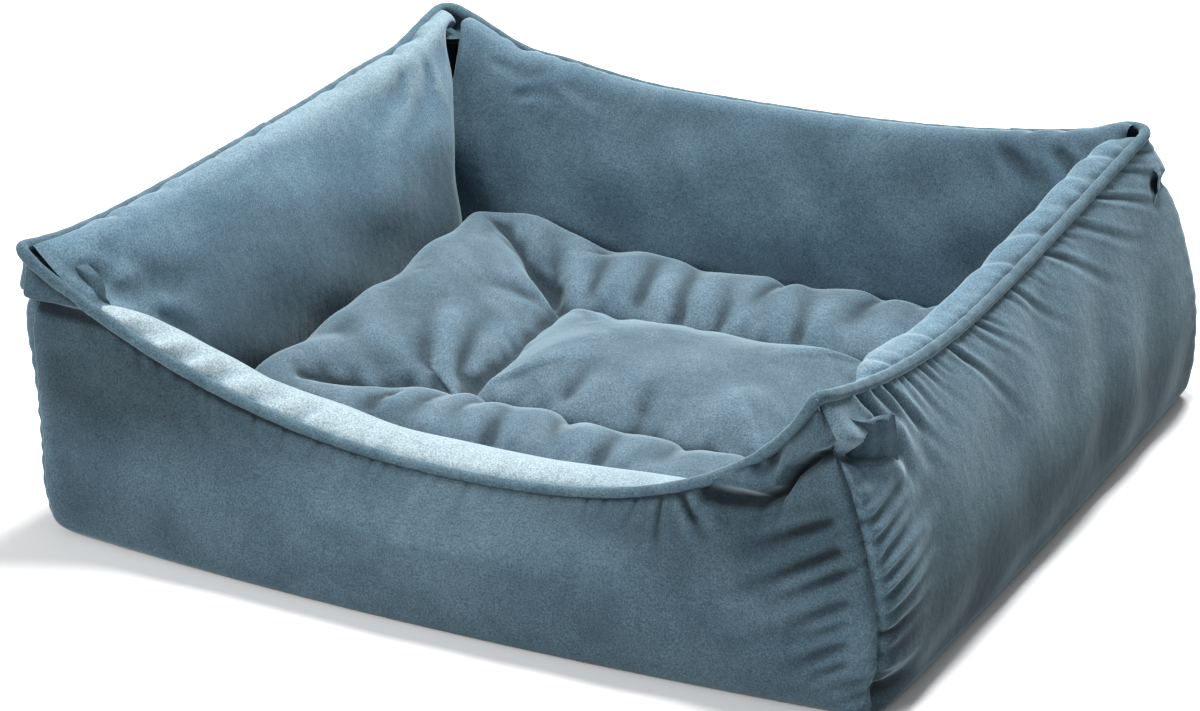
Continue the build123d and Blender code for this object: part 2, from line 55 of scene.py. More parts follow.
# Each side seen from outside: half its length, its turn, the middle of its face, and its bolster's
# thickness. Then its crest: the lowest height and where it lies, the heights of its two ends, the powers
# that they rise with, and how far inside the face it runs at the start, middle and end. The swell is how
# far the stuffing pushes the belly out at the start, middle and end. Waves of the crest have a middle and
# a width, as shares of half the side, and a rise.
SIDES = {
    "front": dict(half=BED_WIDTH / 2, turn=0, face=(0.0, -BED_DEPTH / 2), thick=LONG_BOLSTER,
                  dip=105.0, at=0.0, ends=(240.0, 241.0), powers=(2.38, 2.38), lean=(-14.0, 38.0, -3.0),
                  swell=(-1.0, 15.0, 3.0), waves=()),
    "right": dict(half=BED_DEPTH / 2, turn=90, face=(BED_WIDTH / 2, 0.0), thick=SHORT_BOLSTER,
                  dip=201.0, at=-0.18, ends=(241.0, 235.0), powers=(1.9, 1.8), lean=(42.0, 40.0, 30.0),
                  swell=(11.0, 12.0, 12.0), waves=()),
    "rear": dict(half=BED_WIDTH / 2, turn=180, face=(0.0, BED_DEPTH / 2), thick=LONG_BOLSTER,
                 dip=198.0, at=0.29, ends=(235.0, 243.0), powers=(3.1, 1.8), lean=(36.0, 36.0, 28.0),
                 swell=(2.0, 4.0, 2.0), waves=((0.76, 0.10, -6.0), (-0.93, 0.05, 3.0))),
    "left": dict(half=BED_DEPTH / 2, turn=270, face=(-BED_WIDTH / 2, 0.0), thick=SHORT_BOLSTER,
                 dip=226.0, at=0.15, ends=(243.0, 240.0), powers=(3.6, 6.0), lean=(13.0, 16.0, 5.0),
                 swell=(2.0, 6.0, 1.0), waves=((-0.72, 0.12, -5.0),)),
}
ORDER = ["front", "right", "rear", "left"]


def neighbour(side, end):
    """The side that follows this one at its start, -1, or at its end, 1."""
    return ORDER[(ORDER.index(side) + end) % 4]


def place(side, u, t, z):
    """Points of the bed, in metres, from places along, inside and above one side."""
    s = SIDES[side]
    c, n = math.cos(math.radians(s["turn"])), math.sin(math.radians(s["turn"]))
    x = s["face"][0] + u * c - t * n
    y = s["face"][1] + u * n + t * c
    return np.stack(np.broadcast_arrays(x, y, z), axis=-1) * MM


def side_measures(side, points):
    """Millimetres along a side and above the floor at each point of a grid or a path."""
    s = SIDES[side]
    c, n = math.cos(math.radians(s["turn"])), math.sin(math.radians(s["turn"]))
    x, y = points[..., 0] / MM - s["face"][0], points[..., 1] / MM - s["face"][1]
    return x * c + y * n, points[..., 2] / MM


def soft_step(x):
    """Goes from 0 to 1 as x does, with a level start and end."""
    x = np.clip(x, 0, 1)
    return x * x * (3 - 2 * x)


def crest_height(side, a):
    """Height of the piping at share a of a side, from -1 to 1."""
    s = SIDES[side]
    dip, at, (start, end), (first, second) = s["dip"], s["at"], s["ends"], s["powers"]
    before = dip + (start - dip) * np.clip((at - a) / (1 + at), 0, 1) ** first
    after = dip + (end - dip) * np.clip((a - at) / (1 - at), 0, 1) ** second
    height = np.where(a < at, before, after)
    for middle, width, rise in s["waves"]:
        height = height + rise * np.exp(-(((a - middle) / width) ** 2))
    return height


def between(values, a, power):
    """A size of a side that goes from its start over its middle to its end."""
    start, middle, end = values
    return middle + (np.where(a < 0, start, end) - middle) * np.abs(a) ** power


def crest_lean(side, a):
    """How far inside its face a side's crest runs at share a."""
    return between(SIDES[side]["lean"], a, 2.6)


def wall_inset(side, a, z):
    """How far inside its face the outer wall stands at share a and height z."""
    foot = FOOT_INSET * np.clip(1 - z / FOOT_HEIGHT, 0, 1) ** 2
    foot = foot + HEEL_ROUND * np.clip(1 - z / HEEL_HEIGHT, 0, 1) ** 2
    rise = np.clip((z - BELLY_HEIGHT) / (crest_height(side, a) - BELLY_HEIGHT), 0, 1.2)
    swell = between(SIDES[side]["swell"], a, 2.0) * np.clip(1 - rise, 0, 1) ** 0.6
    return foot * (1 + 0.8 * a**2) - swell + crest_lean(side, a) * rise**1.6


def corner_radius(z):
    """Rounding of the upright corners at height z."""
    return FOOT_CORNER + (CREST_CORNER - FOOT_CORNER) * np.clip(z / CORNER_HEIGHT, 0, 1)


def wall_point(side, a, z):
    """Points of a side's outer wall, in metres, with its ends rounded towards the next sides."""
    half = SIDES[side]["half"]
    low = -half + wall_inset(neighbour(side, -1), 1.0, z)
    high = half - wall_inset(neighbour(side, 1), -1.0, z)
    radius = corner_radius(z)
    cut = radius * (1 - math.sqrt(0.5))
    u = low + cut + (high - low - 2 * cut) * (a + 1) / 2
    t = wall_inset(side, a, z)
    curve = np.clip(radius - np.minimum(u - low, high - u), 0, radius)
    t = t + radius - np.sqrt(np.maximum(radius**2 - curve**2, 0))
    return place(side, u, t, z)


def crest_point(side, a):
    """Points of the seam that carries the piping, in metres."""
    return wall_point(side, a, crest_height(side, a))


def share_along(side, u):
    """Share of the wall's crest that stands at u millimetres along a side."""
    a = np.linspace(-1, 1, 401)
    return np.interp(u, side_measures(side, crest_point(side, a))[0], a)


def spread(count, crowding):
    """Shares from -1 to 1, closer together towards the two ends."""
    a = np.linspace(-1, 1, count)
    return a * (1 - crowding) + np.sin(a * math.pi / 2) * crowding


# Grids of cloth
def grid_faces(columns, rows, flip=False):
    """Four-sided faces of a grid, facing the other way if flipped."""
    i, j = np.meshgrid(np.arange(columns - 1), np.arange(rows - 1), indexing="ij")
    a = (i * rows + j).ravel()
    b, c, d = a + rows, a + rows + 1, a + 1
    return np.stack([a, b, c, d] if flip else [a, d, c, b], axis=1)


def mesh_object(name, points, faces):
    """A smooth-shaded object from points and faces."""
    points = np.asarray(points, dtype=float).reshape(-1, 3)
    mesh = bpy.data.meshes.new(name)
    mesh.from_pydata(points.tolist(), [], [list(face) for face in faces])
    mesh.update()
    mesh.polygons.foreach_set("use_smooth", [True] * len(mesh.polygons))
    obj = bpy.data.objects.new(name, mesh)
    bpy.context.scene.collection.objects.link(obj)
    return obj


def grid_normals(points):
    """Unit normals of a grid of points, from its two directions."""
    normal = np.cross(np.gradient(points, axis=0), np.gradient(points, axis=1))
    return normal / np.maximum(np.linalg.norm(normal, axis=-1, keepdims=True), 1e-12)


def refine(grid):
    """One step of subdivision along both directions of a grid, with its border kept."""
    for axis in (0, 1):
        g = np.moveaxis(grid, axis, 0)
        fine = np.empty((2 * g.shape[0] - 1,) + g.shape[1:])
        fine[1::2] = (g[:-1] + g[1:]) / 2
        fine[2:-1:2] = (g[:-2] + 6 * g[1:-1] + g[2:]) / 8
        fine[0], fine[-1] = g[0], g[-1]
        grid = np.moveaxis(fine, 0, axis)
    return grid


def smooth(values, times, axis=0):
    """Evens out a grid or a path along one of its directions, in place, with its first and last kept."""
    lines = np.moveaxis(values, axis, 0)
    for _ in range(times):
        lines[1:-1] = 0.25 * lines[:-2] + 0.5 * lines[1:-1] + 0.25 * lines[2:]
    return values


def run_along(points, axis):
    """Millimetres of cloth between the first line of a grid and each point, along one direction."""
    steps = np.linalg.norm(np.diff(points, axis=axis), axis=-1) / MM
    return np.insert(np.cumsum(steps, axis=axis), 0, 0.0, axis=axis)


# Cloth that settles between its seams
SETTLING_FRAMES = 20


def settle(sheets):
    """Cloth simulation of all the covers at once: each is held where its seams are, has spare cloth,
    and is filled from inside. Each sheet is a dict with its object and settings."""
    scene = bpy.context.scene
    scene.frame_start, scene.frame_end = 1, SETTLING_FRAMES
    for sheet in sheets:
        obj = sheet["obj"]
        for name, weights in (("held", sheet["held"]), ("spare", sheet["spare"])):
            group = obj.vertex_groups.new(name=name)
            for index, weight in enumerate(weights.ravel()):
                if weight > 0:
                    group.add([index], float(weight), "REPLACE")
        cloth = obj.modifiers.new("settle", "CLOTH")
        cloth.point_cache.frame_start, cloth.point_cache.frame_end = 1, SETTLING_FRAMES
        rules = cloth.settings
        rules.vertex_group_mass = "held"
        rules.vertex_group_shrink = "spare"
        rules.shrink_min, rules.shrink_max = 0.0, -sheet["spare_share"]
        rules.effector_weights.gravity = 0.0
        rules.mass = 0.15
        rules.quality = 6
        rules.tension_stiffness = rules.compression_stiffness = 18.0
        rules.shear_stiffness = 6.0
        rules.bending_stiffness = sheet["bending"]
        rules.tension_damping = rules.compression_damping = rules.shear_damping = 4.0
        rules.bending_damping = 0.6
        rules.use_pressure = True
        rules.uniform_pressure_force = sheet["pressure"]
    for number in range(1, SETTLING_FRAMES + 1):
        scene.frame_set(number)
    graph = bpy.context.evaluated_depsgraph_get()
    for sheet in sheets:
        obj = sheet["obj"]
        done = obj.evaluated_get(graph)
        settled = np.empty(len(obj.data.vertices) * 3)
        done.data.vertices.foreach_get("co", settled)
        settled = settled.reshape(-1, 3)
        start = np.empty_like(settled)
        obj.data.vertices.foreach_get("co", start.ravel())
        move = settled - start
        size = np.linalg.norm(move, axis=1, keepdims=True)
        limit = sheet["cap"] * MM
        move *= np.where(size > limit, limit / np.maximum(size, 1e-9), 1.0)
        sheet["points"] = (start + move).reshape(sheet["points"].shape)
        obj.modifiers.clear()
    scene.frame_set(1)


def rng(seed):
    """A random source that gives the same numbers every time."""
    return np.random.default_rng(seed)


# Outer walls: columns along, rows down and how far the columns crowd to the ends. The cloth starts a
# little under the crest and ends a little over the floor.
WALL_COLUMNS, WALL_ROWS, WALL_CROWDING = 141, 61, 0.25
UNDER_CREST, OVER_FLOOR = 0.5, 1.2


def outer_wall_points(side):
    """Grid of an outer wall before it settles, from the piping down to the floor."""
    a = spread(WALL_COLUMNS, WALL_CROWDING)[:, None]
    b = np.linspace(0, 1, WALL_ROWS)[None, :]
    z = (crest_height(side, a) - UNDER_CREST) * (1 - b) + OVER_FLOOR * b
    return wall_point(side, a + 0 * b, z)


# Inner pillow panels. The crown runs in from the piping and rises over it. Then the cloth's length over
# the crown and under the nose, and how far and to what level it draws in under the nose.
INNER_COLUMNS, INNER_ROWS, INNER_CROWDING = 131, 61, 0.45
CROWN_RUN, CROWN_RISE = 26.0, 11.0
CROWN_LENGTH, HEEL_LENGTH = 36.0, 66.0
HEEL_DRAW, HEEL_LEVEL = 20.0, FLOOR_TOP - 8.0
CLOTH = 1.0
# Where a crown sinks behind its piping: how far, from which share of the side, and over what share
CROWN_SINKS = {
    "front": ((17.0, 0.22, 0.4), (18.0, 0.45, 0.3)),
    "right": ((12.0, -0.6, -0.2), (6.0, 0.55, 0.4)),
}


def crown_rise(side, a):
    """How far a pillow's crown stands over the piping."""
    rise = CROWN_RISE + 0 * a
    for sink, start, reach in CROWN_SINKS.get(side, ()):
        rise = rise - sink * soft_step((a - start) / reach)
    return rise


def inner_profile(side, a, b):
    """Inset and height of a bolster's pillow side at share b, from the piping over the crown to the heel."""
    seam_t, seam_z = crest_lean(side, a) + CLOTH, crest_height(side, a) - UNDER_CREST
    rise_over = crown_rise(side, a)
    nose_t = SIDES[side]["thick"] - CLOTH
    run, rise = nose_t - (seam_t + CROWN_RUN), seam_z + rise_over - NOSE_HEIGHT
    radius = (run**2 + rise**2) / (2 * run)
    slope = np.arctan2(rise, radius - run)
    face_length = radius * slope
    way = b * (CROWN_LENGTH + face_length + HEEL_LENGTH)
    over = np.clip(way / CROWN_LENGTH, 0, 1)
    crown_t = seam_t + CROWN_RUN * (0.35 * over + 0.65 * (1 - np.cos(over * math.pi / 2)))
    crown_z = seam_z + rise_over * np.sin(over * math.pi / 2)
    bend = slope * (1 - np.clip((way - CROWN_LENGTH) / face_length, 0, 1))
    face_t, face_z = nose_t - radius + radius * np.cos(bend), NOSE_HEIGHT + radius * np.sin(bend)
    under = np.clip((way - CROWN_LENGTH - face_length) / HEEL_LENGTH, 0, 1)
    heel_t, heel_z = nose_t - HEEL_DRAW * under**2.2, NOSE_HEIGHT + (HEEL_LEVEL - NOSE_HEIGHT) * under
    on_crown, over_heel = way < CROWN_LENGTH, way < CROWN_LENGTH + face_length
    t = np.where(on_crown, crown_t, np.where(over_heel, face_t, heel_t))
    z = np.where(on_crown, crown_z, np.where(over_heel, face_z, heel_z))
    return t, z


# Where each pillow ends, from the outside of the next side: at its seam and at its nose. Then how far
# along and how deep its end rounds off.
LONG_END = dict(seam=44.0, nose=46.0, along=14.0, deep=10.0)
TAPER_END = dict(seam=44.0, nose=108.0, along=70.0, deep=34.0)
SHORT_END = dict(seam=66.0, nose=80.0, along=40.0, deep=26.0)
CLOSE_END = dict(seam=84.0, nose=122.0, along=74.0, deep=30.0)
POCKET_END = dict(seam=56.0, nose=82.0, along=30.0, deep=16.0)
FULL_END = dict(seam=6.0, nose=14.0, along=20.0, deep=6.0)
ENDS = {"front": (SHORT_END, LONG_END), "right": (CLOSE_END, POCKET_END), "rear": (LONG_END, LONG_END),
        "left": (TAPER_END, FULL_END)}


def drawn_to_piping(points, to_end):
    """Draws the left pillow's end down and back to the front piping, over the last 60 mm before it."""
    near = soft_step(1 - to_end / 60.0)
    rim = crest_point("front", share_along("front", points[..., 0] / MM - SIDES["front"]["face"][0]))
    points[..., 2] -= near * np.maximum(points[..., 2] - rim[..., 2] + 2.0 * MM, 0)
    points[..., 1] += near * np.maximum(rim[..., 1] + 2.0 * MM - points[..., 1], 0)


def inner_points(side):
    """Grid of a pillow before it settles, with its two ends rounded off."""
    half = SIDES[side]["half"]
    a = spread(INNER_COLUMNS, INNER_CROWDING)[:, None]
    b = np.linspace(0, 1, INNER_ROWS)[None, :] + 0 * a
    start, end = ENDS[side]
    low, high = (e["seam"] + (e["nose"] - e["seam"]) * soft_step(b / 0.6) - half for e in (start, end))
    u = low + (-high - low) * (a + 1) / 2
    t, z = inner_profile(side, share_along(side, u), b)
    points = smooth(place(side, u, t, z), 3, axis=1)
    normal = grid_normals(points)
    # The end rounds off most between the crown and the nose
    shape = soft_step(b / 0.2) * (1 - 0.35 * soft_step((b - 0.7) / 0.3))
    drop = 0
    for e, near in ((start, u - low), (end, -high - u)):
        across = np.clip(1 - near / e["along"], 0, 1)
        drop = drop + e["deep"] * shape * (1 - np.sqrt(np.maximum(1 - across**2.2, 0)))
    points = points - normal * drop[..., None] * MM
    if side == "left":
        drawn_to_piping(points, -high - u)
    return points


sheets = {}


def add_cover(name, points, flip, held, spare, **settings):
    """A cover before it settles: where it is held, where it has spare cloth, and its other settings."""
    obj = mesh_object(name + "_velvet", points, grid_faces(*points.shape[:2], flip=flip))
    sheets[name] = dict(obj=obj, points=points, flip=flip, held=held, spare=spare, **settings)


def sewn_border(points):
    """1 where a wall or a pillow is sewn: under the piping, at its foot and at both ends."""
    held = np.zeros(points.shape[:2])
    held[:, :1], held[:, -2:], held[:1, :], held[-1:, :] = 1, 1, 1, 1
    return held


# The spare share is how much longer the cloth is than its seams. The cap is how far it may move, in mm.
for side in ORDER:
    points = outer_wall_points(side)
    along = np.abs(spread(WALL_COLUMNS, WALL_CROWDING))[:, None]
    down = np.linspace(0, 1, WALL_ROWS)[None, :]
    spare = np.maximum(np.exp(-down / 0.28) + 0 * along, np.exp(-(1 - along) / 0.10) + 0 * down)
    add_cover(side + "_outer", points, False, sewn_border(points), spare, spare_share=0.025,
              bending=5.0, pressure=0.6, cap=5.0, padded=0.9, nodes=[side + "_outer_panel"])
    points = inner_points(side)
    down = np.linspace(0, 1, INNER_ROWS)[None, :]
    spare = np.exp(-down / 0.2) + np.zeros((INNER_COLUMNS, 1))
    add_cover(side + "_inner", points, True, sewn_border(points), spare, spare_share=0.03,
              bending=2.5, pressure=0.8, cap=7.0, padded=0.9,
              nodes=[side + "_inner_panel", side + "_bolster_fill"])

# Cushion: half its width and depth, the height of the seam round it, how far its top rises over that,
# more at its left, and how its corners round. The rim rounds over its width, less at the left.
CUSHION_HALF = (255.5, 220.5)
CUSHION_SEAM, CUSHION_RISE, LEFT_RISE = 52.0, 42.0, 22.0
CUSHION_ROUND = 0.2
RIM_WIDTH, RIM_LESS_AT_LEFT = 46.0, 18.0
# About how far the middle lies from the rim, and from where to the left the cushion counts as its left
RIM_TO_MIDDLE, LEFT_FROM, LEFT_OVER = 235.0, -110.0, 110.0
# How deep the quilting seams pull, and how wide
VALLEY_DEPTH, VALLEY_WIDTH = 31.0, 15.0
# Corners of the quilted middle square, and where the seams from them end near the cushion's corners
QUILT_SQUARE = [(-100.0, -100.0), (172.0, -112.0), (178.0, 104.0), (-116.0, 100.0)]
QUILT_REACH = [(-203.0, -168.0), (214.0, -172.0), (216.0, 166.0), (-212.0, 176.0)]


def quilt_runs():
    """The straight seams of the quilting: each side of the square, then the seam from its corner."""
    runs = []
    for i in range(4):
        runs.append((QUILT_SQUARE[i], QUILT_SQUARE[(i + 1) % 4]))
        runs.append((QUILT_SQUARE[i], QUILT_REACH[i]))
    return runs


def run_distance(x, y, run):
    """Distance to one straight seam, and the share of the way along it."""
    (x0, y0), (x1, y1) = run
    dx, dy = x1 - x0, y1 - y0
    share = np.clip(((x - x0) * dx + (y - y0) * dy) / (dx * dx + dy * dy), 0, 1)
    return np.hypot(x - x0 - share * dx, y - y0 - share * dy), share


def quilt_distance(x, y):
    """Distance to the nearest quilting seam, and how deep the seam pulls there."""
    nearest = np.full(np.shape(x), 1e6)
    pull = np.zeros(np.shape(x))
    for number, run in enumerate(quilt_runs()):
        far, share = run_distance(x, y, run)
        depth = 1 - 0.55 * share**2 if number % 2 else 1.0
        pull = np.where(far < nearest, depth, pull)
        nearest = np.minimum(far, nearest)
    return nearest, pull


def cushion_plan(count):
    """A square grid of shares laid over the cushion's rounded outline, in millimetres."""
    v = np.linspace(-1, 1, count)
    p, q = np.meshgrid(v, v, indexing="ij")
    ring = np.maximum(np.abs(p), np.abs(q))
    rounding = CUSHION_ROUND * ring**2
    inner = ring - rounding
    ax, ay = np.abs(p), np.abs(q)
    over = np.where(ax >= ay, ay, ax) - inner
    angle = np.clip(over / np.maximum(rounding, 1e-6), 0, 1) * math.pi / 4
    big, small = inner + rounding * np.cos(angle), inner + rounding * np.sin(angle)
    curved = over > 0
    rx = np.where(curved, np.where(ax >= ay, big, small), ax)
    ry = np.where(curved, np.where(ax >= ay, small, big), ay)
    draw = 1 - 0.02 * (1 - np.minimum(ax, ay) ** 2) * ring**4
    return np.sign(p) * rx * CUSHION_HALF[0] * draw, np.sign(q) * ry * CUSHION_HALF[1] * draw, ring


def cushion_height(x, y, ring):
    """Height of the cushion's top, with the valleys of its quilting and the waves of its rim."""
    leftward = soft_step((LEFT_FROM - x) / LEFT_OVER) * (0.75 + 0.25 * soft_step((y + 100) / 200))
    rim_width = RIM_WIDTH - RIM_LESS_AT_LEFT * leftward
    rim = 1 - (1 - np.clip((1 - ring) * RIM_TO_MIDDLE / rim_width, 0, 1)) ** 3.0
    near, pull = quilt_distance(x, y)
    valley = VALLEY_DEPTH * pull * np.exp(-((near / VALLEY_WIDTH) ** 1.25)) * soft_step((1 - ring) / 0.1)
    sag = 7.0 * (1 - np.exp(-near / 60.0)) * soft_step((1 - ring) / 0.3) - 5.0
    wave = 2.6 * np.sin(x / 15.0 + 2.0 * np.sin(y / 31.0))
    wave = wave + 2.2 * np.sin(y / 13.0 + 1.7 * np.sin(x / 37.0 + 1.0))
    edge = wave * np.exp(-(((1 - ring) / 0.16) ** 2)) * soft_step((1 - ring) / 0.05)
    rise = CUSHION_RISE + sag + LEFT_RISE * leftward
    return CUSHION_SEAM + rise * np.sqrt(np.clip(rim, 0, 1)) - valley + edge


CUSHION_COUNT = 121
SEAM_HOLD = 2.6
cx, cy, ring = cushion_plan(CUSHION_COUNT)
points = np.stack([cx, cy, cushion_height(cx, cy, ring)], axis=-1) * MM
near, pull = quilt_distance(cx, cy)
held = ((near < SEAM_HOLD) | (ring > 0.999)).astype(float)
add_cover("cushion_top", points, True, held, np.ones_like(held), spare_share=0.05,
          bending=0.35, pressure=2.0, cap=14.0, padded=0.75,
          nodes=["cushion_top_cover", "cushion_fill"])

settle(list(sheets.values()))


# Puckers, gathers and tucks that the seams draw into the velvet
def ridge(x):
    """A narrow valley between two low shoulders, as a pucker has."""
    return np.exp(-(x**2)) - 0.42 * np.exp(-((np.abs(x) - 1.9) ** 2) * 1.4)


def puckers(u, below, places):
    """Depth of the puckers under a seam. Each has its place, how deep and how long it is, how wide it
    starts, and how far it runs sideways for each millimetre down."""
    depth = np.zeros_like(u)
    for at, deep, length, width, slant in places:
        fade = np.clip(1 - below / length, 0, 1) ** 1.3 * soft_step(below / 3.0 + 0.35)
        middle = at + slant * below + 3.0 * np.sin(below / 17.0 + at)
        spread_out = width * (1 + 1.1 * np.clip(below, 0, length) / length)
        depth += deep * fade * ridge((u - middle) / spread_out)
    return depth


def scattered(seed, first, last, gap, deep, length, width, slant):
    """Places of puckers along a seam, with sizes that vary round the given ones."""
    random = rng(seed)
    places, at = [], first
    while at < last:
        share = (at - first) / (last - first)
        lean = slant[0] + (slant[1] - slant[0]) * share
        places.append((at, deep * random.uniform(0.25, 1.25), length * random.uniform(0.45, 1.2),
                       width * random.uniform(0.7, 1.3), lean + random.normal(0, 0.18)))
        at += gap * random.uniform(0.55, 1.5)
    return places


# Millimetres: how far above its line a tuck's lip fades out, how far under it the crease lies and how wide
# it is, and the same for the slack cloth that the crease draws in further down
LIP_HEIGHT = 17.0
CREASE_UNDER, CREASE_WIDTH = 5.0, 5.5
SLACK_UNDER, SLACK_WIDTH, SLACK_SHARE = 12.0, 12.0, 0.4


def tuck(line, u, z, lip, valley):
    """Outward movement round a tuck: a full lip above its line and a tight crease under it. Past the ends
    of its line the tuck has faded away."""
    us, zs, strengths = (np.array(v) for v in zip(*line))
    over = z - np.interp(u, us, zs)
    strength = np.interp(u, us, strengths, left=0.0, right=0.0)
    bulge = lip * np.exp(-((np.clip(over, 0, None) / LIP_HEIGHT) ** 2)) * soft_step((over + 3.0) / 7.0)
    crease = valley * np.exp(-(((over + CREASE_UNDER) / CREASE_WIDTH) ** 2))
    crease = crease + SLACK_SHARE * valley * np.exp(-(((over + SLACK_UNDER) / SLACK_WIDTH) ** 2))
    return strength * (bulge - crease)


# Gathers beside the upright seams, in millimetres: how far they reach, how far apart and how wide they are,
# between what heights they start, and from what height over what stretch they fade under the tucks
GATHER_REACH, GATHER_SPACING, GATHER_WIDTH = 58.0, 11.5, 3.2
GATHER_LOW, GATHER_HIGH = 22, 186
GATHER_FADE_AT, GATHER_FADE_OVER = 196, 24
# Their slant and depth, which are greatest where the photograph shows the front's right corner
SLIGHT_GATHERS = (0.05, 0.9)
STRONG_GATHERS = {("front", 1): (-0.42, 2.4), ("right", -1): (0.08, 2.4)}


def gathers(seed, near, z, slant, deep):
    """Outward movement of the gathers beside an upright seam: ridges that run away from it."""
    random = rng(seed)
    total = np.zeros_like(near)
    at = GATHER_LOW
    while at < GATHER_HIGH:
        length = GATHER_REACH * random.uniform(0.4, 1.2)
        size = deep * random.uniform(0.35, 1.2)
        tilt = slant + random.normal(0, 0.10)
        fade = np.clip(1 - near / length, 0, 1) ** 1.4
        total -= size * fade * ridge((z - at - tilt * near) / (GATHER_WIDTH * (1 + 1.3 * near / length)))
        at += GATHER_SPACING * random.uniform(0.6, 1.5)
    return total


# Under the piping of each side: listed long puckers first, then the small ones between
PUCKERS = {
    "front": [(270, 3.0, 46, 4.5, -0.2), (252, 2.2, 30, 3.0, 0.3), (212, 1.6, 34, 2.6, 0.1)],
    "right": [(-283, 4.2, 90, 5.5, 0.55), (-258, 3.4, 84, 4.5, 0.75), (-236, 2.6, 70, 4.0, 0.8),
              (-206, 2.2, 60, 3.4, 0.9), (-176, 2.0, 46, 3.0, 0.9), (-120, 2.4, 92, 3.6, 0.95),
              (-64, 2.2, 60, 3.4, 1.1), (2, 2.4, 66, 3.4, 1.2), (70, 2.8, 74, 4.0, 1.5),
              (128, 2.8, 70, 4.2, 1.7), (176, 3.0, 66, 4.0, 1.9), (226, 2.4, 50, 4.0, 1.6)],
    "rear": [(-250, 2.6, 70, 4.0, 0.4), (-130, 2.0, 60, 4.0, 0.2), (40, 2.0, 54, 4.0, -0.3),
             (215, 2.6, 70, 4.0, -0.6)],
    "left": [(-240, 2.6, 70, 4.0, 0.5), (-90, 2.0, 60, 4.0, 0.2), (100, 2.0, 54, 4.0, -0.3),
             (235, 2.6, 60, 4.0, -0.4)],
}
# A seed, then the first and last place, the gap between them, depth, length, width, and two slants
SMALL_PUCKERS = {
    "front": (11, -300, 300, 17.0, 0.8, 26.0, 2.4, (0.2, -0.2)),
    "right": (12, -290, 290, 15.0, 1.5, 40.0, 2.6, (0.6, 1.8)),
    "rear": (13, -290, 290, 18.0, 1.1, 40.0, 2.8, (0.5, -0.5)),
    "left": (14, -290, 290, 18.0, 1.1, 40.0, 2.8, (0.5, -0.5)),
}
# Tucks across each side near its two corners: along, height of the line, and strength. Then how far the
# lip stands out and how deep the crease is.
TUCKS = {
    "front": [([(-400, 200, 1.0), (-318, 197, 1.0), (-290, 193, 0.7), (-262, 186, 0.0)], 6.0, 6.5),
              ([(205, 146, 0.0), (223, 149, 0.8), (241, 152, 1.0), (259, 155, 1.0), (275, 165, 1.0),
                (284, 182, 1.0), (303, 199, 0.9), (318, 207, 0.8), (400, 207, 0.8)], 9.0, 12.0)],
    "right": [([(-400, 207, 0.8), (-333, 207, 0.8), (-311, 198, 1.0), (-292, 200, 0.8),
                (-271, 205, 0.0)], 9.0, 12.0),
              ([(262, 199, 0.0), (276, 202, 0.8), (304, 197, 1.0), (325, 197, 0.6),
                (400, 197, 0.6)], 3.0, 3.5)],
    "rear": [([(-400, 197, 0.6), (-325, 197, 0.6), (-305, 197, 0.8), (-280, 194, 0.6),
               (-255, 190, 0.0)], 3.0, 3.5),
             ([(262, 196, 0.0), (288, 200, 0.7), (316, 203, 1.0), (400, 203, 1.0)], 4.0, 6.0)],
    "left": [([(-400, 203, 1.0), (-312, 203, 1.0), (-285, 200, 0.7), (-250, 194, 0.0)], 4.0, 6.0),
             ([(230, 192, 0.0), (270, 196, 0.5), (305, 199, 1.0), (336, 200, 1.0),
               (400, 200, 1.0)], 6.0, 6.5)],
}
# Single folds of each side: a line of places along and above, how deep the fold is and how wide
FOLDS = {
    "front": [
        ([(175, 128), (178, 112), (183, 96)], 1.6, 3.0), ([(199, 128), (212, 118), (226, 112)], 2.6, 4.0),
        ([(190, 134), (206, 126), (222, 124)], 2.2, 3.4), ([(318, 150), (275, 128), (240, 110)], 2.6, 4.5),
        ([(322, 128), (270, 96), (225, 76)], 3.0, 5.0), ([(326, 112), (290, 92), (262, 80)], 2.4, 3.6),
        ([(330, 92), (286, 62), (236, 42)], 3.2, 5.0), ([(331, 78), (300, 60), (276, 46)], 2.4, 3.6),
        ([(333, 62), (306, 44), (284, 30)], 2.6, 4.0), ([(334, 46), (314, 34), (298, 24)], 2.2, 3.2)],
    "right": [
        ([(-282, 222), (-266, 208), (-252, 190), (-246, 176)], 6.0, 7.0),
        ([(-236, 214), (-226, 198), (-212, 176), (-206, 158)], 4.5, 5.0),
        ([(-300, 190), (-270, 182), (-250, 172), (-240, 166)], 6.5, 6.0),
        ([(-330, 150), (-270, 156), (-220, 160)], 2.8, 4.5),
        ([(-331, 136), (-280, 140), (-246, 142)], 2.2, 3.6),
        ([(-332, 122), (-276, 128), (-214, 134)], 3.0, 4.5),
        ([(-333, 108), (-284, 112), (-250, 114)], 2.2, 3.6),
        ([(-334, 95), (-270, 100), (-226, 104)], 2.6, 4.0), ([(-334, 82), (-284, 84), (-240, 86)], 2.4, 4.0),
        ([(-335, 69), (-290, 70), (-252, 70)], 2.2, 3.6)],
    "rear": [],
    "left": [],
}


def line_distance(x, y, line):
    """How far each point lies from a line of places, to its left positive, and the share of the way along."""
    nearest, share_at = np.full(np.shape(x), 1e6), np.zeros(np.shape(x))
    sign_at = np.ones(np.shape(x))
    count = len(line) - 1
    for i in range(count):
        (x0, y0), (x1, y1) = line[i], line[i + 1]
        dx, dy = x1 - x0, y1 - y0
        share = np.clip(((x - x0) * dx + (y - y0) * dy) / (dx * dx + dy * dy), 0, 1)
        far = np.hypot(x - x0 - share * dx, y - y0 - share * dy)
        closer = far < nearest
        nearest = np.where(closer, far, nearest)
        share_at = np.where(closer, (i + share) / count, share_at)
        sign_at = np.where(closer, np.sign((y - y0) * dx - (x - x0) * dy), sign_at)
    return nearest * sign_at, share_at


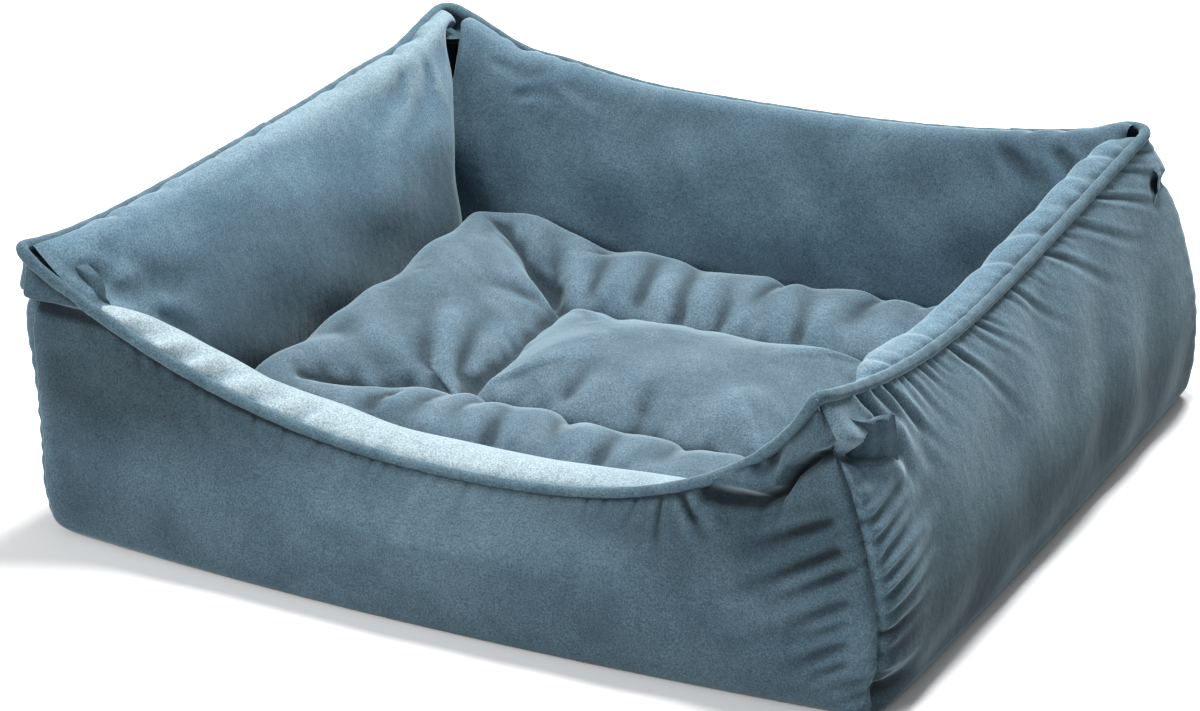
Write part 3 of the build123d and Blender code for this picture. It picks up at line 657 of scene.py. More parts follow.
def folds(x, y, lines, form=ridge, start=0.12):
    """Depth of listed folds: each fades in at its start and runs out at its end, growing wider."""
    depth = np.zeros(np.shape(x))
    for line, deep, width in lines:
        far, share = line_distance(x, y, line)
        fade = soft_step((share + start) / 0.3) * (1 - share) ** 0.8
        depth += deep * fade * form(far / (width * (0.8 + 0.7 * share)))
    return depth


def unevenness(x, y, seed, height):
    """Broad soft lumps of the stuffing under the cloth, 60 to 140 mm across."""
    random = rng(seed)
    total = np.zeros(np.shape(x))
    for _ in range(7):
        size, turn, start = random.uniform(60, 140), random.uniform(0, math.pi), random.uniform(0, 6.28)
        total += np.sin(2 * math.pi * (x * math.cos(turn) + y * math.sin(turn)) / size + start)
    return total * height / 3.5


def outwards(name, points):
    """Unit normals of a cover that point away from its filling."""
    normal = grid_normals(points)
    if name.endswith("_outer"):
        return -normal
    if name.startswith("cushion"):
        return normal * np.sign(normal[..., 2].mean())
    return normal


def corner_stuffing(side, u, z, to_end):
    """Outward movement by the front corners: the stuffing stops short of the heel at the right one, and
    fills the left wall under the tuck at the left one."""
    if side == "right":
        hollow = np.exp(-(((u + 322) / 30) ** 2) - (((z - 20) / 13) ** 2))
        lip = np.exp(-(((u + 312) / 34) ** 2) - (((z - 44) / 7) ** 2))
        return 3.0 * lip - 12.0 * hollow
    if side == "front":
        return -5.0 * np.exp(-(((u - 345) / 12) ** 2) - (((z - 24) / 12) ** 2))
    if side == "left":
        fullness = 9.0 * soft_step((u - 220) / 80) * soft_step((z - 100) / 95)
        return fullness * soft_step((206 - z) / 8) * soft_step(to_end / 20)
    return 0.0


# How deep an upright seam pulls the cloth beside it, and over what width: tightly, and more loosely
TIGHT_PULL, TIGHT_WIDTH = 3.2, 3.5
LOOSE_PULL, LOOSE_WIDTH = 1.4, 12.0


def seam_pull(near):
    """How deep an upright seam has pulled the cloth in at each distance from it."""
    tight = TIGHT_PULL * np.exp(-((near / TIGHT_WIDTH) ** 2))
    return tight + LOOSE_PULL * np.exp(-((near / LOOSE_WIDTH) ** 2))


def detail_wall(side, points):
    """Puckers, tucks, folds and gathers of an outer wall, and the lumps of its stuffing."""
    u, z = side_measures(side, points)
    below = crest_height(side, share_along(side, u)) - z
    away = -1.0 * puckers(u, below, PUCKERS[side] + scattered(*SMALL_PUCKERS[side]))
    for line, lip, valley in TUCKS[side]:
        away += tuck(line, u, z, lip, valley)
    away -= folds(u, z, FOLDS[side])
    from_start = run_along(points, 0)
    to_end = from_start[-1:] - from_start
    for end, near in ((-1, from_start), (1, to_end)):
        seed = 40 + 2 * ORDER.index(side) + (end > 0)
        drawn = gathers(seed, near, z, *STRONG_GATHERS.get((side, end), SLIGHT_GATHERS))
        away += drawn * soft_step((GATHER_FADE_AT - z) / GATHER_FADE_OVER) * soft_step((near + 1.0) / 6.0)
        away -= seam_pull(near)
    away += corner_stuffing(side, u, z, to_end)
    away *= soft_step(z / 8.0) * soft_step(below / 3.0)
    lumps = unevenness(u, z, 3 + ORDER.index(side), 1.6) * soft_step(from_start / 30) * soft_step(to_end / 30)
    away += lumps * (soft_step(z / 30) * soft_step(below / 30))
    return points + outwards(side + "_outer", points) * away[..., None] * MM


# Folds of each pillow, along the side and above the floor, and the puckers from the piping over its crown
INNER_FOLDS = {
    "left": [
        ([(305, 243), (282, 228), (258, 206), (247, 180)], 4.0, 8.0),
        ([(318, 226), (296, 204), (276, 188), (270, 160)], 3.5, 8.0),
        ([(292, 246), (262, 232), (236, 224)], 4.0, 7.0), ([(262, 170), (240, 150), (222, 128)], 3.0, 8.0),
        ([(-210, 226), (-196, 206), (-188, 180)], 3.0, 8.0),
        ([(-170, 230), (-150, 216), (-128, 208)], 2.4, 7.0)],
    "rear": [
        ([(268, 214), (236, 206), (205, 212)], 2.2, 4.5), ([(240, 190), (214, 196), (188, 194)], 2.0, 4.5),
        ([(200, 206), (170, 196), (140, 196)], 1.6, 4.5), ([(-200, 214), (-232, 196), (-262, 190)], 3.0, 6.0),
        ([(-250, 218), (-270, 204), (-284, 180)], 4.0, 6.0)],
    "front": [],
    "right": [([(-290, 214), (-262, 206), (-236, 190)], 4.0, 7.0)],
}
INNER_PUCKERS = {
    "front": [(-258, 4.0, 62, 7.0, 0.5), (-232, 3.0, 56, 5.5, 0.5), (-206, 4.0, 60, 6.5, 0.6),
              (-170, 2.4, 50, 6.0, 0.6), (-136, 2.6, 50, 5.0, 0.5), (-60, 1.5, 40, 6.0, 0.3)],
    "right": [(-276, 3.6, 60, 7.0, -0.3), (-252, 3.4, 60, 6.0, -0.5), (-222, 3.0, 56, 6.0, -0.6),
              (-196, 2.2, 50, 5.0, -0.6), (-120, 2.0, 50, 7.0, -0.5), (40, 3.0, 60, 8.0, -0.6),
              (96, 3.4, 60, 8.0, -0.7), (150, 2.6, 50, 7.0, -0.7), (206, 3.0, 56, 7.0, -0.6),
              (244, 2.6, 50, 5.0, -0.5)],
    "rear": [(-262, 3.0, 40, 5.0, 0.6), (-230, 2.4, 40, 4.0, 0.6), (262, 2.6, 50, 6.0, -0.6),
             (214, 1.8, 40, 5.0, -0.6)],
    "left": [(-236, 3.0, 60, 8.0, 0.4), (-196, 2.6, 56, 7.0, 0.4), (-100, 1.8, 50, 8.0, 0.3),
             (30, 1.8, 44, 8.0, 0.3), (180, 2.4, 50, 8.0, -0.3), (250, 3.0, 44, 6.0, -0.3)],
}
INNER_SMALL_PUCKERS = {
    "front": (21, -270, 200, 21.0, 0.9, 34.0, 3.4, (0.4, 0.1)),
    "right": (22, -280, 270, 20.0, 1.0, 34.0, 3.6, (-0.4, -0.6)),
    "rear": (23, -290, 280, 19.0, 0.9, 26.0, 3.0, (0.3, -0.3)),
    "left": (24, -270, 300, 22.0, 0.9, 34.0, 3.6, (0.3, -0.2)),
}


def detail_pillow(side, points):
    """Puckers and folds of a pillow, and the lumps of its stuffing, from the piping down."""
    u, z = side_measures(side, points)
    down = run_along(points, 1)
    away = -puckers(u, down, INNER_PUCKERS[side] + scattered(*INNER_SMALL_PUCKERS[side]))
    away -= folds(u, z, INNER_FOLDS[side]) * soft_step((down - 20) / 30)
    away += unevenness(u, down, 30 + ORDER.index(side), 2.2) * soft_step((down - 16) / 40)
    away *= soft_step(down / 7.0)
    return points + outwards(side + "_inner", points) * away[..., None] * MM


# Folds of the cushion, from the seams and the rim: places across and along, then depth and width
CUSHION_FOLDS = [
    ([(-104, -106), (-136, -98), (-182, -50), (-234, 30)], 13.0, 14.0),
    ([(-112, -98), (-138, -78), (-163, -40), (-186, 10)], 10.0, 10.0),
    ([(-112, -116), (-150, -118), (-196, -100), (-244, -70)], 10.0, 13.0),
    ([(-106, -90), (-120, -60), (-134, -17), (-140, 34)], 11.0, 9.0),
    ([(-96, -92), (-101, -60), (-104, -26), (-96, 6)], 9.5, 7.0),
    ([(-126, 88), (-152, 66), (-176, 40)], 4.7, 9.0),
    ([(-122, 108), (-144, 128), (-161, 173), (-172, 214)], 10.8, 12.0),
    ([(-98, 108), (-104, 150), (-122, 212)], 5.4, 9.0),
    ([(-52, 104), (-60, 150), (-76, 212)], 6.8, 9.0),
    ([(-12, 102), (-20, 128), (-34, 208)], 8.8, 8.0),
    ([(22, 104), (20, 130), (8, 170)], 4.1, 7.0),
    ([(48, 206), (42, 170), (36, 130)], 6.8, 8.0),
    ([(92, 106), (86, 134), (70, 208)], 6.1, 8.0),
    ([(130, 206), (126, 170), (124, 124)], 6.1, 9.0),
    ([(170, 208), (168, 186), (164, 160)], 4.7, 8.0),
    ([(-128, -150), (-136, -176), (-136, -212)], 6.8, 9.0),
    ([(-90, -108), (-98, -150), (-106, -208)], 6.8, 10.0),
    ([(-58, -106), (-66, -150), (-70, -210)], 5.4, 8.0),
    ([(-26, -208), (-32, -170), (-36, -124)], 5.4, 8.0),
    ([(8, -104), (10, -130), (26, -208)], 9.5, 8.0),
    ([(66, -205), (64, -160), (60, -120)], 5.4, 9.0),
    ([(112, -108), (112, -140), (110, -206)], 4.7, 8.0),
    ([(186, -60), (206, -66), (232, -60)], 4.7, 10.0),
    ([(186, -10), (210, -6), (234, 4)], 4.1, 10.0),
    ([(186, 44), (208, 50), (234, 50)], 4.7, 10.0),
    ([(-56, 92), (-44, 60), (-22, 26)], 3.2, 8.0),
    ([(20, 96), (26, 70), (40, 44)], 2.4, 8.0),
    ([(-20, -94), (-16, -60), (-10, -24)], 3.5, 9.0),
    ([(50, -94), (46, -70), (56, -30)], 2.7, 8.0),
]


def soft_fold(x):
    """A rounded valley with low full shoulders, as thick filling makes it."""
    return np.exp(-(x**2)) - 0.22 * np.exp(-((np.abs(x) - 2.0) ** 2))


def detail_cushion(points):
    """Folds on the cushion's top cover, and the ripples that its quilting seams pull."""
    x, y = points[..., 0] / MM, points[..., 1] / MM
    rim = np.minimum(CUSHION_HALF[0] - np.abs(x), CUSHION_HALF[1] - np.abs(y))
    away = -folds(x, y, CUSHION_FOLDS, soft_fold, 0.06) + unevenness(x, y, 91, 2.6)
    near, pull = quilt_distance(x, y)
    across, along = (x + 0.35 * y) / 5.2 + 2.0 * np.sin(y / 23.0), (y - 0.3 * x) / 6.1 + np.sin(x / 19.0)
    away += 0.9 * (np.sin(across) * np.sin(along)) * np.exp(-(((near - 9.0) / 8.0) ** 2))
    away *= soft_step(rim / 5.0)
    return points + outwards("cushion_top", points) * away[..., None] * MM


# Painted light and shade on the covers: paler above 0, darker under it, as light from above falls: the front
# pillow's crown and the high walls painted paler, the low walls darker. Amounts by height above the floor,
# then by place along the side.
PAINTED_LIGHT_TABLE = {
    "front_inner": ([(0, 0)], [(-200, 1.6), (-50, 1.6), (60, 1.5), (150, 1.3)]),
    "right_inner": ([(0, 0)], [(-260, 0.8), (-150, 0.6), (0, 0.35), (250, 0.15)]),
    "left_inner": ([(90, -0.35), (125, -0.15), (165, 0.45), (200, 0.7)],
                   [(-250, 0.15), (-60, 0.1), (60, 0.0), (200, -0.15)]),
    "rear_inner": ([(60, 0.15), (150, 0.15), (200, 0.02)], [(-200, -0.2), (0, 0.0), (200, 0.05)]),
    "right_outer": ([(20, -0.6), (60, -0.45), (110, 0.38), (200, 0.6)], [(0, 0)]),
    "front_outer": ([(30, 0.04), (75, 0.14), (100, -0.1), (120, -0.32)],
                    [(-300, -0.14), (-100, 0.05), (100, 0.0)]),
}
# How much paler a ridge is, partly as rubbed pile and partly as painted highlight, and how much darker a
# crease is as painted shade, on a pillow and on the other covers
RIDGE_PALER, PILLOW_CREASE_SHADE, CREASE_SHADE = 0.3, 0.3, 0.5
# Steps of evening out that take a fold away, and the height over the rest at which a ridge is painted palest
# and a crease darkest
RELIEF_STEPS, RELIEF_HEIGHT = 26, 1.1
DARKEST_PAINTED_SHADE = -0.8


def fold_relief(name, points):
    """1 on the ridges of a cover's folds, painted pale as rubbed pile and painted highlight, and -1 in their
    creases, painted dark as shade.
    """
    level = points.copy()
    for _ in range(RELIEF_STEPS):
        smooth(level, 1, axis=0)
        smooth(level, 1, axis=1)
    return np.clip(((points - level) * outwards(name, points)).sum(axis=-1) / (RELIEF_HEIGHT * MM), -1, 1)


def painted_light_share(name, points):
    """Painted light and shade at each point of a cover, as a share added to its colour."""
    side, kind = name.split("_")
    ridges = fold_relief(name, points)
    crease_darkening = PILLOW_CREASE_SHADE if kind == "inner" else CREASE_SHADE
    total = np.where(ridges > 0, RIDGE_PALER, crease_darkening) * ridges
    if side == "cushion":
        x, y = points[..., 0] / MM, points[..., 1] / MM
        # Painted shade: the cushion darker towards its left and its front
        total -= 0.12 * soft_step((-120 - x) / 80) + 0.06 * soft_step((-100 - y) / 60)
    else:
        down = run_along(points, 1)
        # Painted shadow: a dark line just under the piping, on the walls and on the pillows
        total -= 0.45 * np.exp(-(((down - 4.0) / 3.5) ** 2))
    if name in PAINTED_LIGHT_TABLE:
        u, z = side_measures(side, points)
        by_height, by_place = (np.array(table).T for table in PAINTED_LIGHT_TABLE[name])
        # The front pillow's painted light by place stays on its crown
        crown_only = 1 - 0.88 * soft_step((down - 42) / 40) if name == "front_inner" else 1.0
        total += np.interp(z, *by_height) + np.interp(u, *by_place) * crown_only
    return np.maximum(total, DARKEST_PAINTED_SHADE)


def detailed(name, points):
    """A settled cover at twice its fineness, with the folds of its own kind."""
    side, kind = name.split("_")
    if kind == "outer":
        return detail_wall(side, refine(points))
    if kind == "inner":
        return detail_pillow(side, refine(points))
    return detail_cushion(refine(points))


for name, sheet in sheets.items():
    sheet["fine"] = detailed(name, sheet["points"])

# Each two walls share the line of the seam at their corner, and the two lines beside it follow
for side in ORDER:
    one, other = sheets[side + "_outer"]["fine"], sheets[neighbour(side, 1) + "_outer"]["fine"]
    seam = (one[-1] + other[0]) / 2
    for line, share in ((1, 0.6), (2, 0.3)):
        one[-1 - line] += share * (seam - one[-1])
        other[line] += share * (seam - other[0])
    one[-1], other[0] = seam, seam

for name, sheet in sheets.items():
    title, fine = sheet["obj"].name, sheet["fine"]
    bpy.data.objects.remove(sheet["obj"])
    sheet["obj"] = mesh_object(title, fine, grid_faces(*fine.shape[:2], flip=sheet["flip"]))
    # Each cover's painted light and shade, kept as an attribute for its material
    light_layer = sheet["obj"].data.attributes.new("painted_light", "FLOAT", "POINT")
    light_layer.data.foreach_set("value", painted_light_share(name, fine).ravel().astype(np.float32))


# Piping round the crest
def ring_faces(rings, count):
    """Faces between closed rings that have the same count of points."""
    faces = []
    for i in range(rings - 1):
        for j in range(count):
            k = (j + 1) % count
            faces.append((i * count + j, i * count + k, (i + 1) * count + k, (i + 1) * count + j))
    return faces


def tube(path, radius, sides=14):
    """Points and faces of a tube along a path, with a rounded point at each end."""
    tangent = np.gradient(path, axis=0)
    tangent /= np.linalg.norm(tangent, axis=1, keepdims=True)
    sideways = np.cross(tangent, np.array([0, 0, 1.0]))
    sideways /= np.linalg.norm(sideways, axis=1, keepdims=True)
    top = np.cross(sideways, tangent)
    turn = np.linspace(0, 2 * math.pi, sides, endpoint=False)
    rings = path[:, None] + radius[:, None, None] * (
        sideways[:, None] * np.cos(turn)[None, :, None] + top[:, None] * np.sin(turn)[None, :, None])
    points = rings.reshape(-1, 3).tolist()
    faces = ring_faces(len(path), sides)
    for i, start in ((0, True), (len(path) - 1, False)):
        points.append((path[i] + tangent[i] * radius[i] * (-0.5 if start else 0.5)).tolist())
        middle = len(points) - 1
        for j in range(sides):
            a, b = i * sides + j, i * sides + (j + 1) % sides
            faces.append((a, middle, b) if start else (a, b, middle))
    return points, faces


# About how long a side's crest is, in millimetres
CREST_RUN = 640


def crest_path(start, stop, step):
    """Points of the crest in metres from one place to another. A place is a side's number plus its share."""
    places = np.linspace(start, stop, int((stop - start) * CREST_RUN / step))
    points = [crest_point(ORDER[int(value // 1) % 4], (value % 1) * 2 - 1) for value in places]
    return np.array(points).reshape(-1, 3)


# Places where the two lengths of piping meet, and where the photograph shows its cloth lapped: a side's
# number plus its share. A lap is thicker on one side of its edge, over a short way, and has a notch there.
REAR_JOIN, LEFT_JOIN = 2.855, 3.588
LAPS = [(2.195, -0.075), (3.472, 0.05)]
LAP_THICKER, NOTCH_DEEP, NOTCH_WIDE = 0.75, 0.9, 0.0032
# How much thinner than in the part's source the piping is shown, in radius, as the photograph has it
THINNER = 0.9
PIPING_STEP, PIPING_SMOOTHING = 2.5, 9


def piping_radius(places):
    """Radius of the piping in metres along its length, with its laps and its slight unevenness."""
    radius = np.full(len(places), PIPING_RADIUS - THINNER)
    for at, reach in LAPS:
        far = (places - at) / reach
        radius += np.where(far > 0, LAP_THICKER * np.clip(1 - far, 0, 1) ** 0.7, 0.0)
        radius -= NOTCH_DEEP * np.exp(-(((places - at) / NOTCH_WIDE) ** 2))
    return (radius + 0.12 * np.sin(places * 190.0) + 0.1 * np.sin(places * 83.0 + 1.0)) * MM


for side, start, stop in (("front", LEFT_JOIN - 4, REAR_JOIN), ("rear", REAR_JOIN, LEFT_JOIN)):
    name = side + "_piping_velvet"
    path = smooth(crest_path(start, stop, PIPING_STEP), PIPING_SMOOTHING)
    places = np.linspace(start, stop, len(path)) % 4
    welt = mesh_object(name, *tube(path, piping_radius(places)))
    sheets[name] = dict(obj=welt, nodes=[side + "_piping", side + "_piping_cord"])


# Lining in the gap at each inside corner: from what share of one side to what share of the next it hangs,
# and its columns and rows. Then, in millimetres, how far inside the crest it starts, how deep it lies at
# the top and how much deeper at the floor, how much deeper its edges lie, and its width for its depth.
LINING_FROM, LINING_TO, LINING_STEP = 0.915, 0.085, 3.0
LINING_COLUMNS, LINING_ROWS = 41, 61
LINING_INSIDE = 3.0
LINING_DEPTH, DEEPER_AT_FLOOR, DEEPER_AT_EDGES = 34.0, 50.0, 16.0
WIDTH_SHARE = 0.72
# Share of the height over which it leaves the crest's line, and its pleats and the groove across them
LEAVES_CREST_SHARE = 0.13
PLEAT_DEPTH, PLEAT_TURNS = 1.6, 14
GROOVE_DEPTH, GROOVE_SHARE, GROOVE_WIDTH, LINING_HEIGHT = 2.0, 0.18, 2.5, 235


def corner_cloth(number):
    """The gathered cloth between two bolsters' ends, from under the piping down to the floor."""
    before, after = ORDER[number - 1], ORDER[number]
    top_before = crest_path(number - 1 + LINING_FROM, number, LINING_STEP)
    top_after = crest_path(number, number + LINING_TO, LINING_STEP)
    crest = np.concatenate([top_before[:-1], top_after])
    pick = np.linspace(0, len(crest) - 1, LINING_COLUMNS)
    crest = np.stack([np.interp(pick, np.arange(len(crest)), crest[:, k]) for k in range(3)], axis=1)
    corner = place(before, SIDES[before]["half"], 0.0, 0.0)
    well = place(before, SIDES[before]["half"] - SIDES[after]["thick"], SIDES[before]["thick"], 0.0)
    inward = (well - corner) / np.linalg.norm(well - corner)
    across = np.array([-inward[1], inward[0], 0.0])
    crest = crest + inward * LINING_INSIDE * MM
    c = np.linspace(-1, 1, LINING_COLUMNS)
    phase = rng(70 + number).uniform(0, 6.28, 3)[0]
    apex = crest[:, 2].max()
    points = np.empty((LINING_COLUMNS, LINING_ROWS, 3))
    for j in range(LINING_ROWS):
        share = j / (LINING_ROWS - 1)
        height = (apex / MM - 2) * (1 - share) + FLOOR_TOP * share
        deep = LINING_DEPTH + DEEPER_AT_FLOOR * share
        edges = DEEPER_AT_EDGES * np.abs(c) ** 1.6
        low = corner + (inward * (deep + edges)[:, None] + across * (c * (WIDTH_SHARE * deep))[:, None]) * MM
        low[:, 2] = height * MM
        leaves = soft_step(share / LEAVES_CREST_SHARE)
        row = crest.copy()
        row[:, 2] = row[:, 2] - (apex - height * MM)
        row = row * (1 - leaves) + low * leaves
        pleat = PLEAT_DEPTH * np.sin(c * PLEAT_TURNS + phase + 2 * share) * np.exp(-share / 0.22)
        pleat = pleat * soft_step(share / 0.03)
        groove = -GROOVE_DEPTH * np.exp(-(((share - GROOVE_SHARE) * LINING_HEIGHT) / GROOVE_WIDTH) ** 2)
        points[:, j] = row + (inward * (pleat + groove)[:, None]) * MM
    return points


def cut_size(points):
    """Width and length in metres that a gathered sheet was cut to."""
    across = np.linalg.norm(np.diff(points, axis=0), axis=-1).sum(axis=0).mean()
    down = np.linalg.norm(np.diff(points, axis=1), axis=-1).sum(axis=1).mean()
    return round(float(across), 3), round(float(down), 3)


CORNERS = ("front_left", "front_right", "rear_right", "rear_left")
for number, corner in enumerate(CORNERS):
    node = corner + "_gusset"
    points = corner_cloth(number)
    lining = mesh_object(node + "_lining", points, grid_faces(*points.shape[:2], flip=True))
    sheets[node + "_lining"] = dict(obj=lining, nodes=[node], flat=cut_size(points))

# Bottom cover of the cushion: inset and height, from the seam in to where it lies flat
CUSHION_UNDER = [(0.0, CUSHION_SEAM), (3.0, 44.0), (10.0, 36.5), (13.5, 31.0), (14.5, 25.0), (20.0, 19.0),
                 (28.0, 15.2), (40.0, 13.8)]
UNDER_RIM_SHARE = 0.25


def cushion_bottom():
    """From the seam round the lower edge, in past the zip's fold, to the flat underside."""
    x, y, ring = cushion_plan(CUSHION_COUNT)
    ring = np.maximum(ring, 1e-6)
    steps = np.linspace(0, UNDER_RIM_SHARE, len(CUSHION_UNDER))
    inset, z = (np.interp(1 - ring, steps, level) for level in zip(*CUSHION_UNDER))
    ex, ey = x / ring, y / ring
    reach = np.maximum(np.maximum(np.abs(ex), np.abs(ey)), 1.0)
    scale = (1 - inset / reach) * np.minimum(ring / (1 - UNDER_RIM_SHARE), 1)
    return np.stack([ex * scale, ey * scale, z], axis=-1) * MM


under = mesh_object("cushion_bottom_velvet", cushion_bottom(), grid_faces(CUSHION_COUNT, CUSHION_COUNT))
sheets["cushion_bottom"] = dict(obj=under, nodes=["cushion_bottom_cover"], padded=0.75)


# Materials
def linear(code):
    """Linear colour from an sRGB hex value."""
    values = [int(code[i:i + 2], 16) / 255 for i in (1, 3, 5)]
    return tuple(v / 12.92 if v <= 0.04045 else ((v + 0.055) / 1.055) ** 2.4 for v in values) + (1.0,)


def add(tree, kind, values=(), links=(), **settings):
    """Adds one node with its settings, its socket values and the links into it."""
    made = tree.nodes.new(kind)
    for name, value in settings.items():
        setattr(made, name, value)
    for socket, value in values:
        made.inputs[socket].default_value = value
    for socket, source in links:
        tree.links.new(source, made.inputs[socket])
    return made


def finish_of(name, **constants):
    """A new material, its node tree and its shader, whose plain numbers are set on the sockets."""
    material = bpy.data.materials.new(name)
    material.use_nodes = True
    tree = material.node_tree
    shader = tree.nodes["Principled BSDF"]
    for socket, value in constants.items():
        shader.inputs[socket.replace("_", " ")].default_value = value
    return material, tree, shader


def pattern(size):
    """Noise scale, on coordinates in metres, whose blotches are about size millimetres across."""
    return 1000.0 / size


# Millimetres: the strokes that a hand leaves in the nap, and the pile's grain. Its fibres are too fine to
# show, so the grain is drawn as coarse as this.
STROKE_SIZE, PILE_SIZE = 11.0, 1.4
# How sharply patches of nap differ, and from what painted light the colour turns towards a painted sheen
# rather than only paler
NAP_SOFTNESS = 0.2
PAINTED_SHEEN_FROM, PAINTED_SHEEN_FULL = 0.8, 1.6


def velvet(name, deep, pale, nap):
    """Short-pile polyester velvet: matt, with a soft pale sheen at grazing angles from its shader and a
    painted sheen in its colour there. The nap lies this way and that, in patches of nap millimetres, and the
    pile gives a fine grain.
    Each cover's painted light and shade scales the colour, and at its palest turns it towards a painted
    sheen."""
    material, tree, shader = finish_of(name, Roughness=0.9, Sheen_Weight=0.35, Sheen_Roughness=0.42,
                                       Sheen_Tint=linear("#c4dae2"), IOR=1.45, Specular_IOR_Level=0.15)
    place = [("Vector", add(tree, "ShaderNodeTexCoord").outputs["Object"])]
    patches = add(tree, "ShaderNodeTexNoise",
                  [("Scale", pattern(nap)), ("Detail", 3.0), ("Roughness", 0.55), ("Distortion", 0.9)], place)
    strokes = add(tree, "ShaderNodeTexNoise",
                  [("Scale", pattern(STROKE_SIZE)), ("Detail", 2.0), ("Roughness", 0.5)], place)
    pile = add(tree, "ShaderNodeTexNoise",
               [("Scale", pattern(PILE_SIZE)), ("Detail", 2.0), ("Roughness", 0.6)], place)
    lie = add(tree, "ShaderNodeMapRange",
              [("From Min", 0.5 - NAP_SOFTNESS), ("From Max", 0.5 + NAP_SOFTNESS)],
              [("Value", patches.outputs["Fac"])], interpolation_type="SMOOTHSTEP")
    dye = add(tree, "ShaderNodeMix", [("A", linear(deep)), ("B", linear(pale))],
              [("Factor", lie.outputs["Result"])], data_type="RGBA")
    streak = add(tree, "ShaderNodeMapRange",
                 [("From Min", 0.3), ("From Max", 0.7), ("To Min", 0.95), ("To Max", 1.05)],
                 [("Value", strokes.outputs["Fac"])])
    grain = add(tree, "ShaderNodeMapRange",
                [("From Min", 0.3), ("From Max", 0.7), ("To Min", 0.6), ("To Max", 1.4)],
                [("Value", pile.outputs["Fac"])])
    # Painted light and shade: the cover's attribute makes the colour paler or darker, and past its limit
    # mixes it towards a pale grey as a painted sheen
    painted_light = add(tree, "ShaderNodeAttribute", attribute_name="painted_light").outputs["Fac"]
    capped = add(tree, "ShaderNodeMath", [(1, PAINTED_SHEEN_FROM)], [(0, painted_light)], operation="MINIMUM")
    light_scale = add(tree, "ShaderNodeMath", [(1, 1.0)], [(0, capped.outputs[0])], operation="ADD")
    painted_sheen_share = add(tree, "ShaderNodeMapRange",
                [("From Min", PAINTED_SHEEN_FROM), ("From Max", PAINTED_SHEEN_FULL), ("To Min", 0.0), ("To Max", 0.9)],
                [("Value", painted_light)])
    painted_sheen_mix = add(tree, "ShaderNodeMix", [("B", linear("#78858a"))],
                  [("Factor", painted_sheen_share.outputs["Result"]), ("A", dye.outputs["Result"])], data_type="RGBA")
    fine = add(tree, "ShaderNodeMath", (), [(0, streak.outputs["Result"]), (1, grain.outputs["Result"])],
               operation="MULTIPLY")
    shade = add(tree, "ShaderNodeMath", (), [(0, fine.outputs[0]), (1, light_scale.outputs[0])],
                operation="MULTIPLY")
    colour = add(tree, "ShaderNodeVectorMath", (),
                 [(0, painted_sheen_mix.outputs["Result"]), ("Scale", shade.outputs[0])], operation="SCALE")
    # Painted sheen: the colour is mixed towards a pale blue-grey where the surface turns edge-on to the
    # camera
    graze = add(tree, "ShaderNodeLayerWeight", [("Blend", 0.5)])
    grazing_sheen_share = add(tree, "ShaderNodeMapRange",
               [("From Min", 0.7), ("From Max", 1.0), ("To Min", 0.0), ("To Max", 0.4)],
               [("Value", graze.outputs["Facing"])])
    seen = add(tree, "ShaderNodeMix", [("B", linear("#a8bfc9"))],
               [("Factor", grazing_sheen_share.outputs["Result"]), ("A", colour.outputs[0])], data_type="RGBA")
    tree.links.new(seen.outputs["Result"], shader.inputs["Base Color"])
    rough = add(tree, "ShaderNodeBump", [("Strength", 0.5), ("Distance", 0.0004)],
                [("Height", pile.outputs["Fac"])])
    soft = add(tree, "ShaderNodeBump", [("Strength", 0.35), ("Distance", 0.002)],
               [("Height", strokes.outputs["Fac"]), ("Normal", rough.outputs["Normal"])])
    tree.links.new(soft.outputs["Normal"], shader.inputs["Normal"])
    return material


VELVETS = {
    "velvet_outer": velvet("velvet_outer_brushed", "#3f535e", "#4b5f6a", 90.0),
    "velvet_inner": velvet("velvet_inner_brushed", "#415663", "#4d626e", 90.0),
    # The cushion's velvet is set paler than the walls': painted light on its top, which faces up
    "velvet_cushion": velvet("velvet_cushion_brushed", "#4c606c", "#5a6d79", 60.0),
    "velvet_piping": velvet("velvet_piping_bias", "#475d69", "#536a76", 30.0),
}


def slot_of(name):
    """The material slot of a cover, from its name."""
    if "piping" in name:
        return "velvet_piping"
    if name.startswith("cushion"):
        return "velvet_cushion"
    return "velvet_outer" if name.endswith("_outer") else "velvet_inner"


def plain_cloth(name, code, grain):
    """Plain woven or felted cloth: one dye, with the fine unevenness of its threads."""
    material, tree, shader = finish_of(name, Roughness=0.85, Sheen_Weight=0.3)
    place = add(tree, "ShaderNodeTexCoord").outputs["Object"]
    threads = add(tree, "ShaderNodeTexNoise", [("Scale", pattern(grain)), ("Detail", 2.0)],
                  [("Vector", place)])
    level = add(tree, "ShaderNodeMapRange",
                [("From Min", 0.3), ("From Max", 0.7), ("To Min", 0.85), ("To Max", 1.15)],
                [("Value", threads.outputs["Fac"])])
    colour = add(tree, "ShaderNodeVectorMath", [(0, linear(code)[:3])], [("Scale", level.outputs["Result"])],
                 operation="SCALE")
    tree.links.new(colour.outputs[0], shader.inputs["Base Color"])
    bump = add(tree, "ShaderNodeBump", [("Strength", 0.4), ("Distance", 0.0003)],
               [("Height", threads.outputs["Fac"])])
    tree.links.new(bump.outputs["Normal"], shader.inputs["Normal"])
    return material


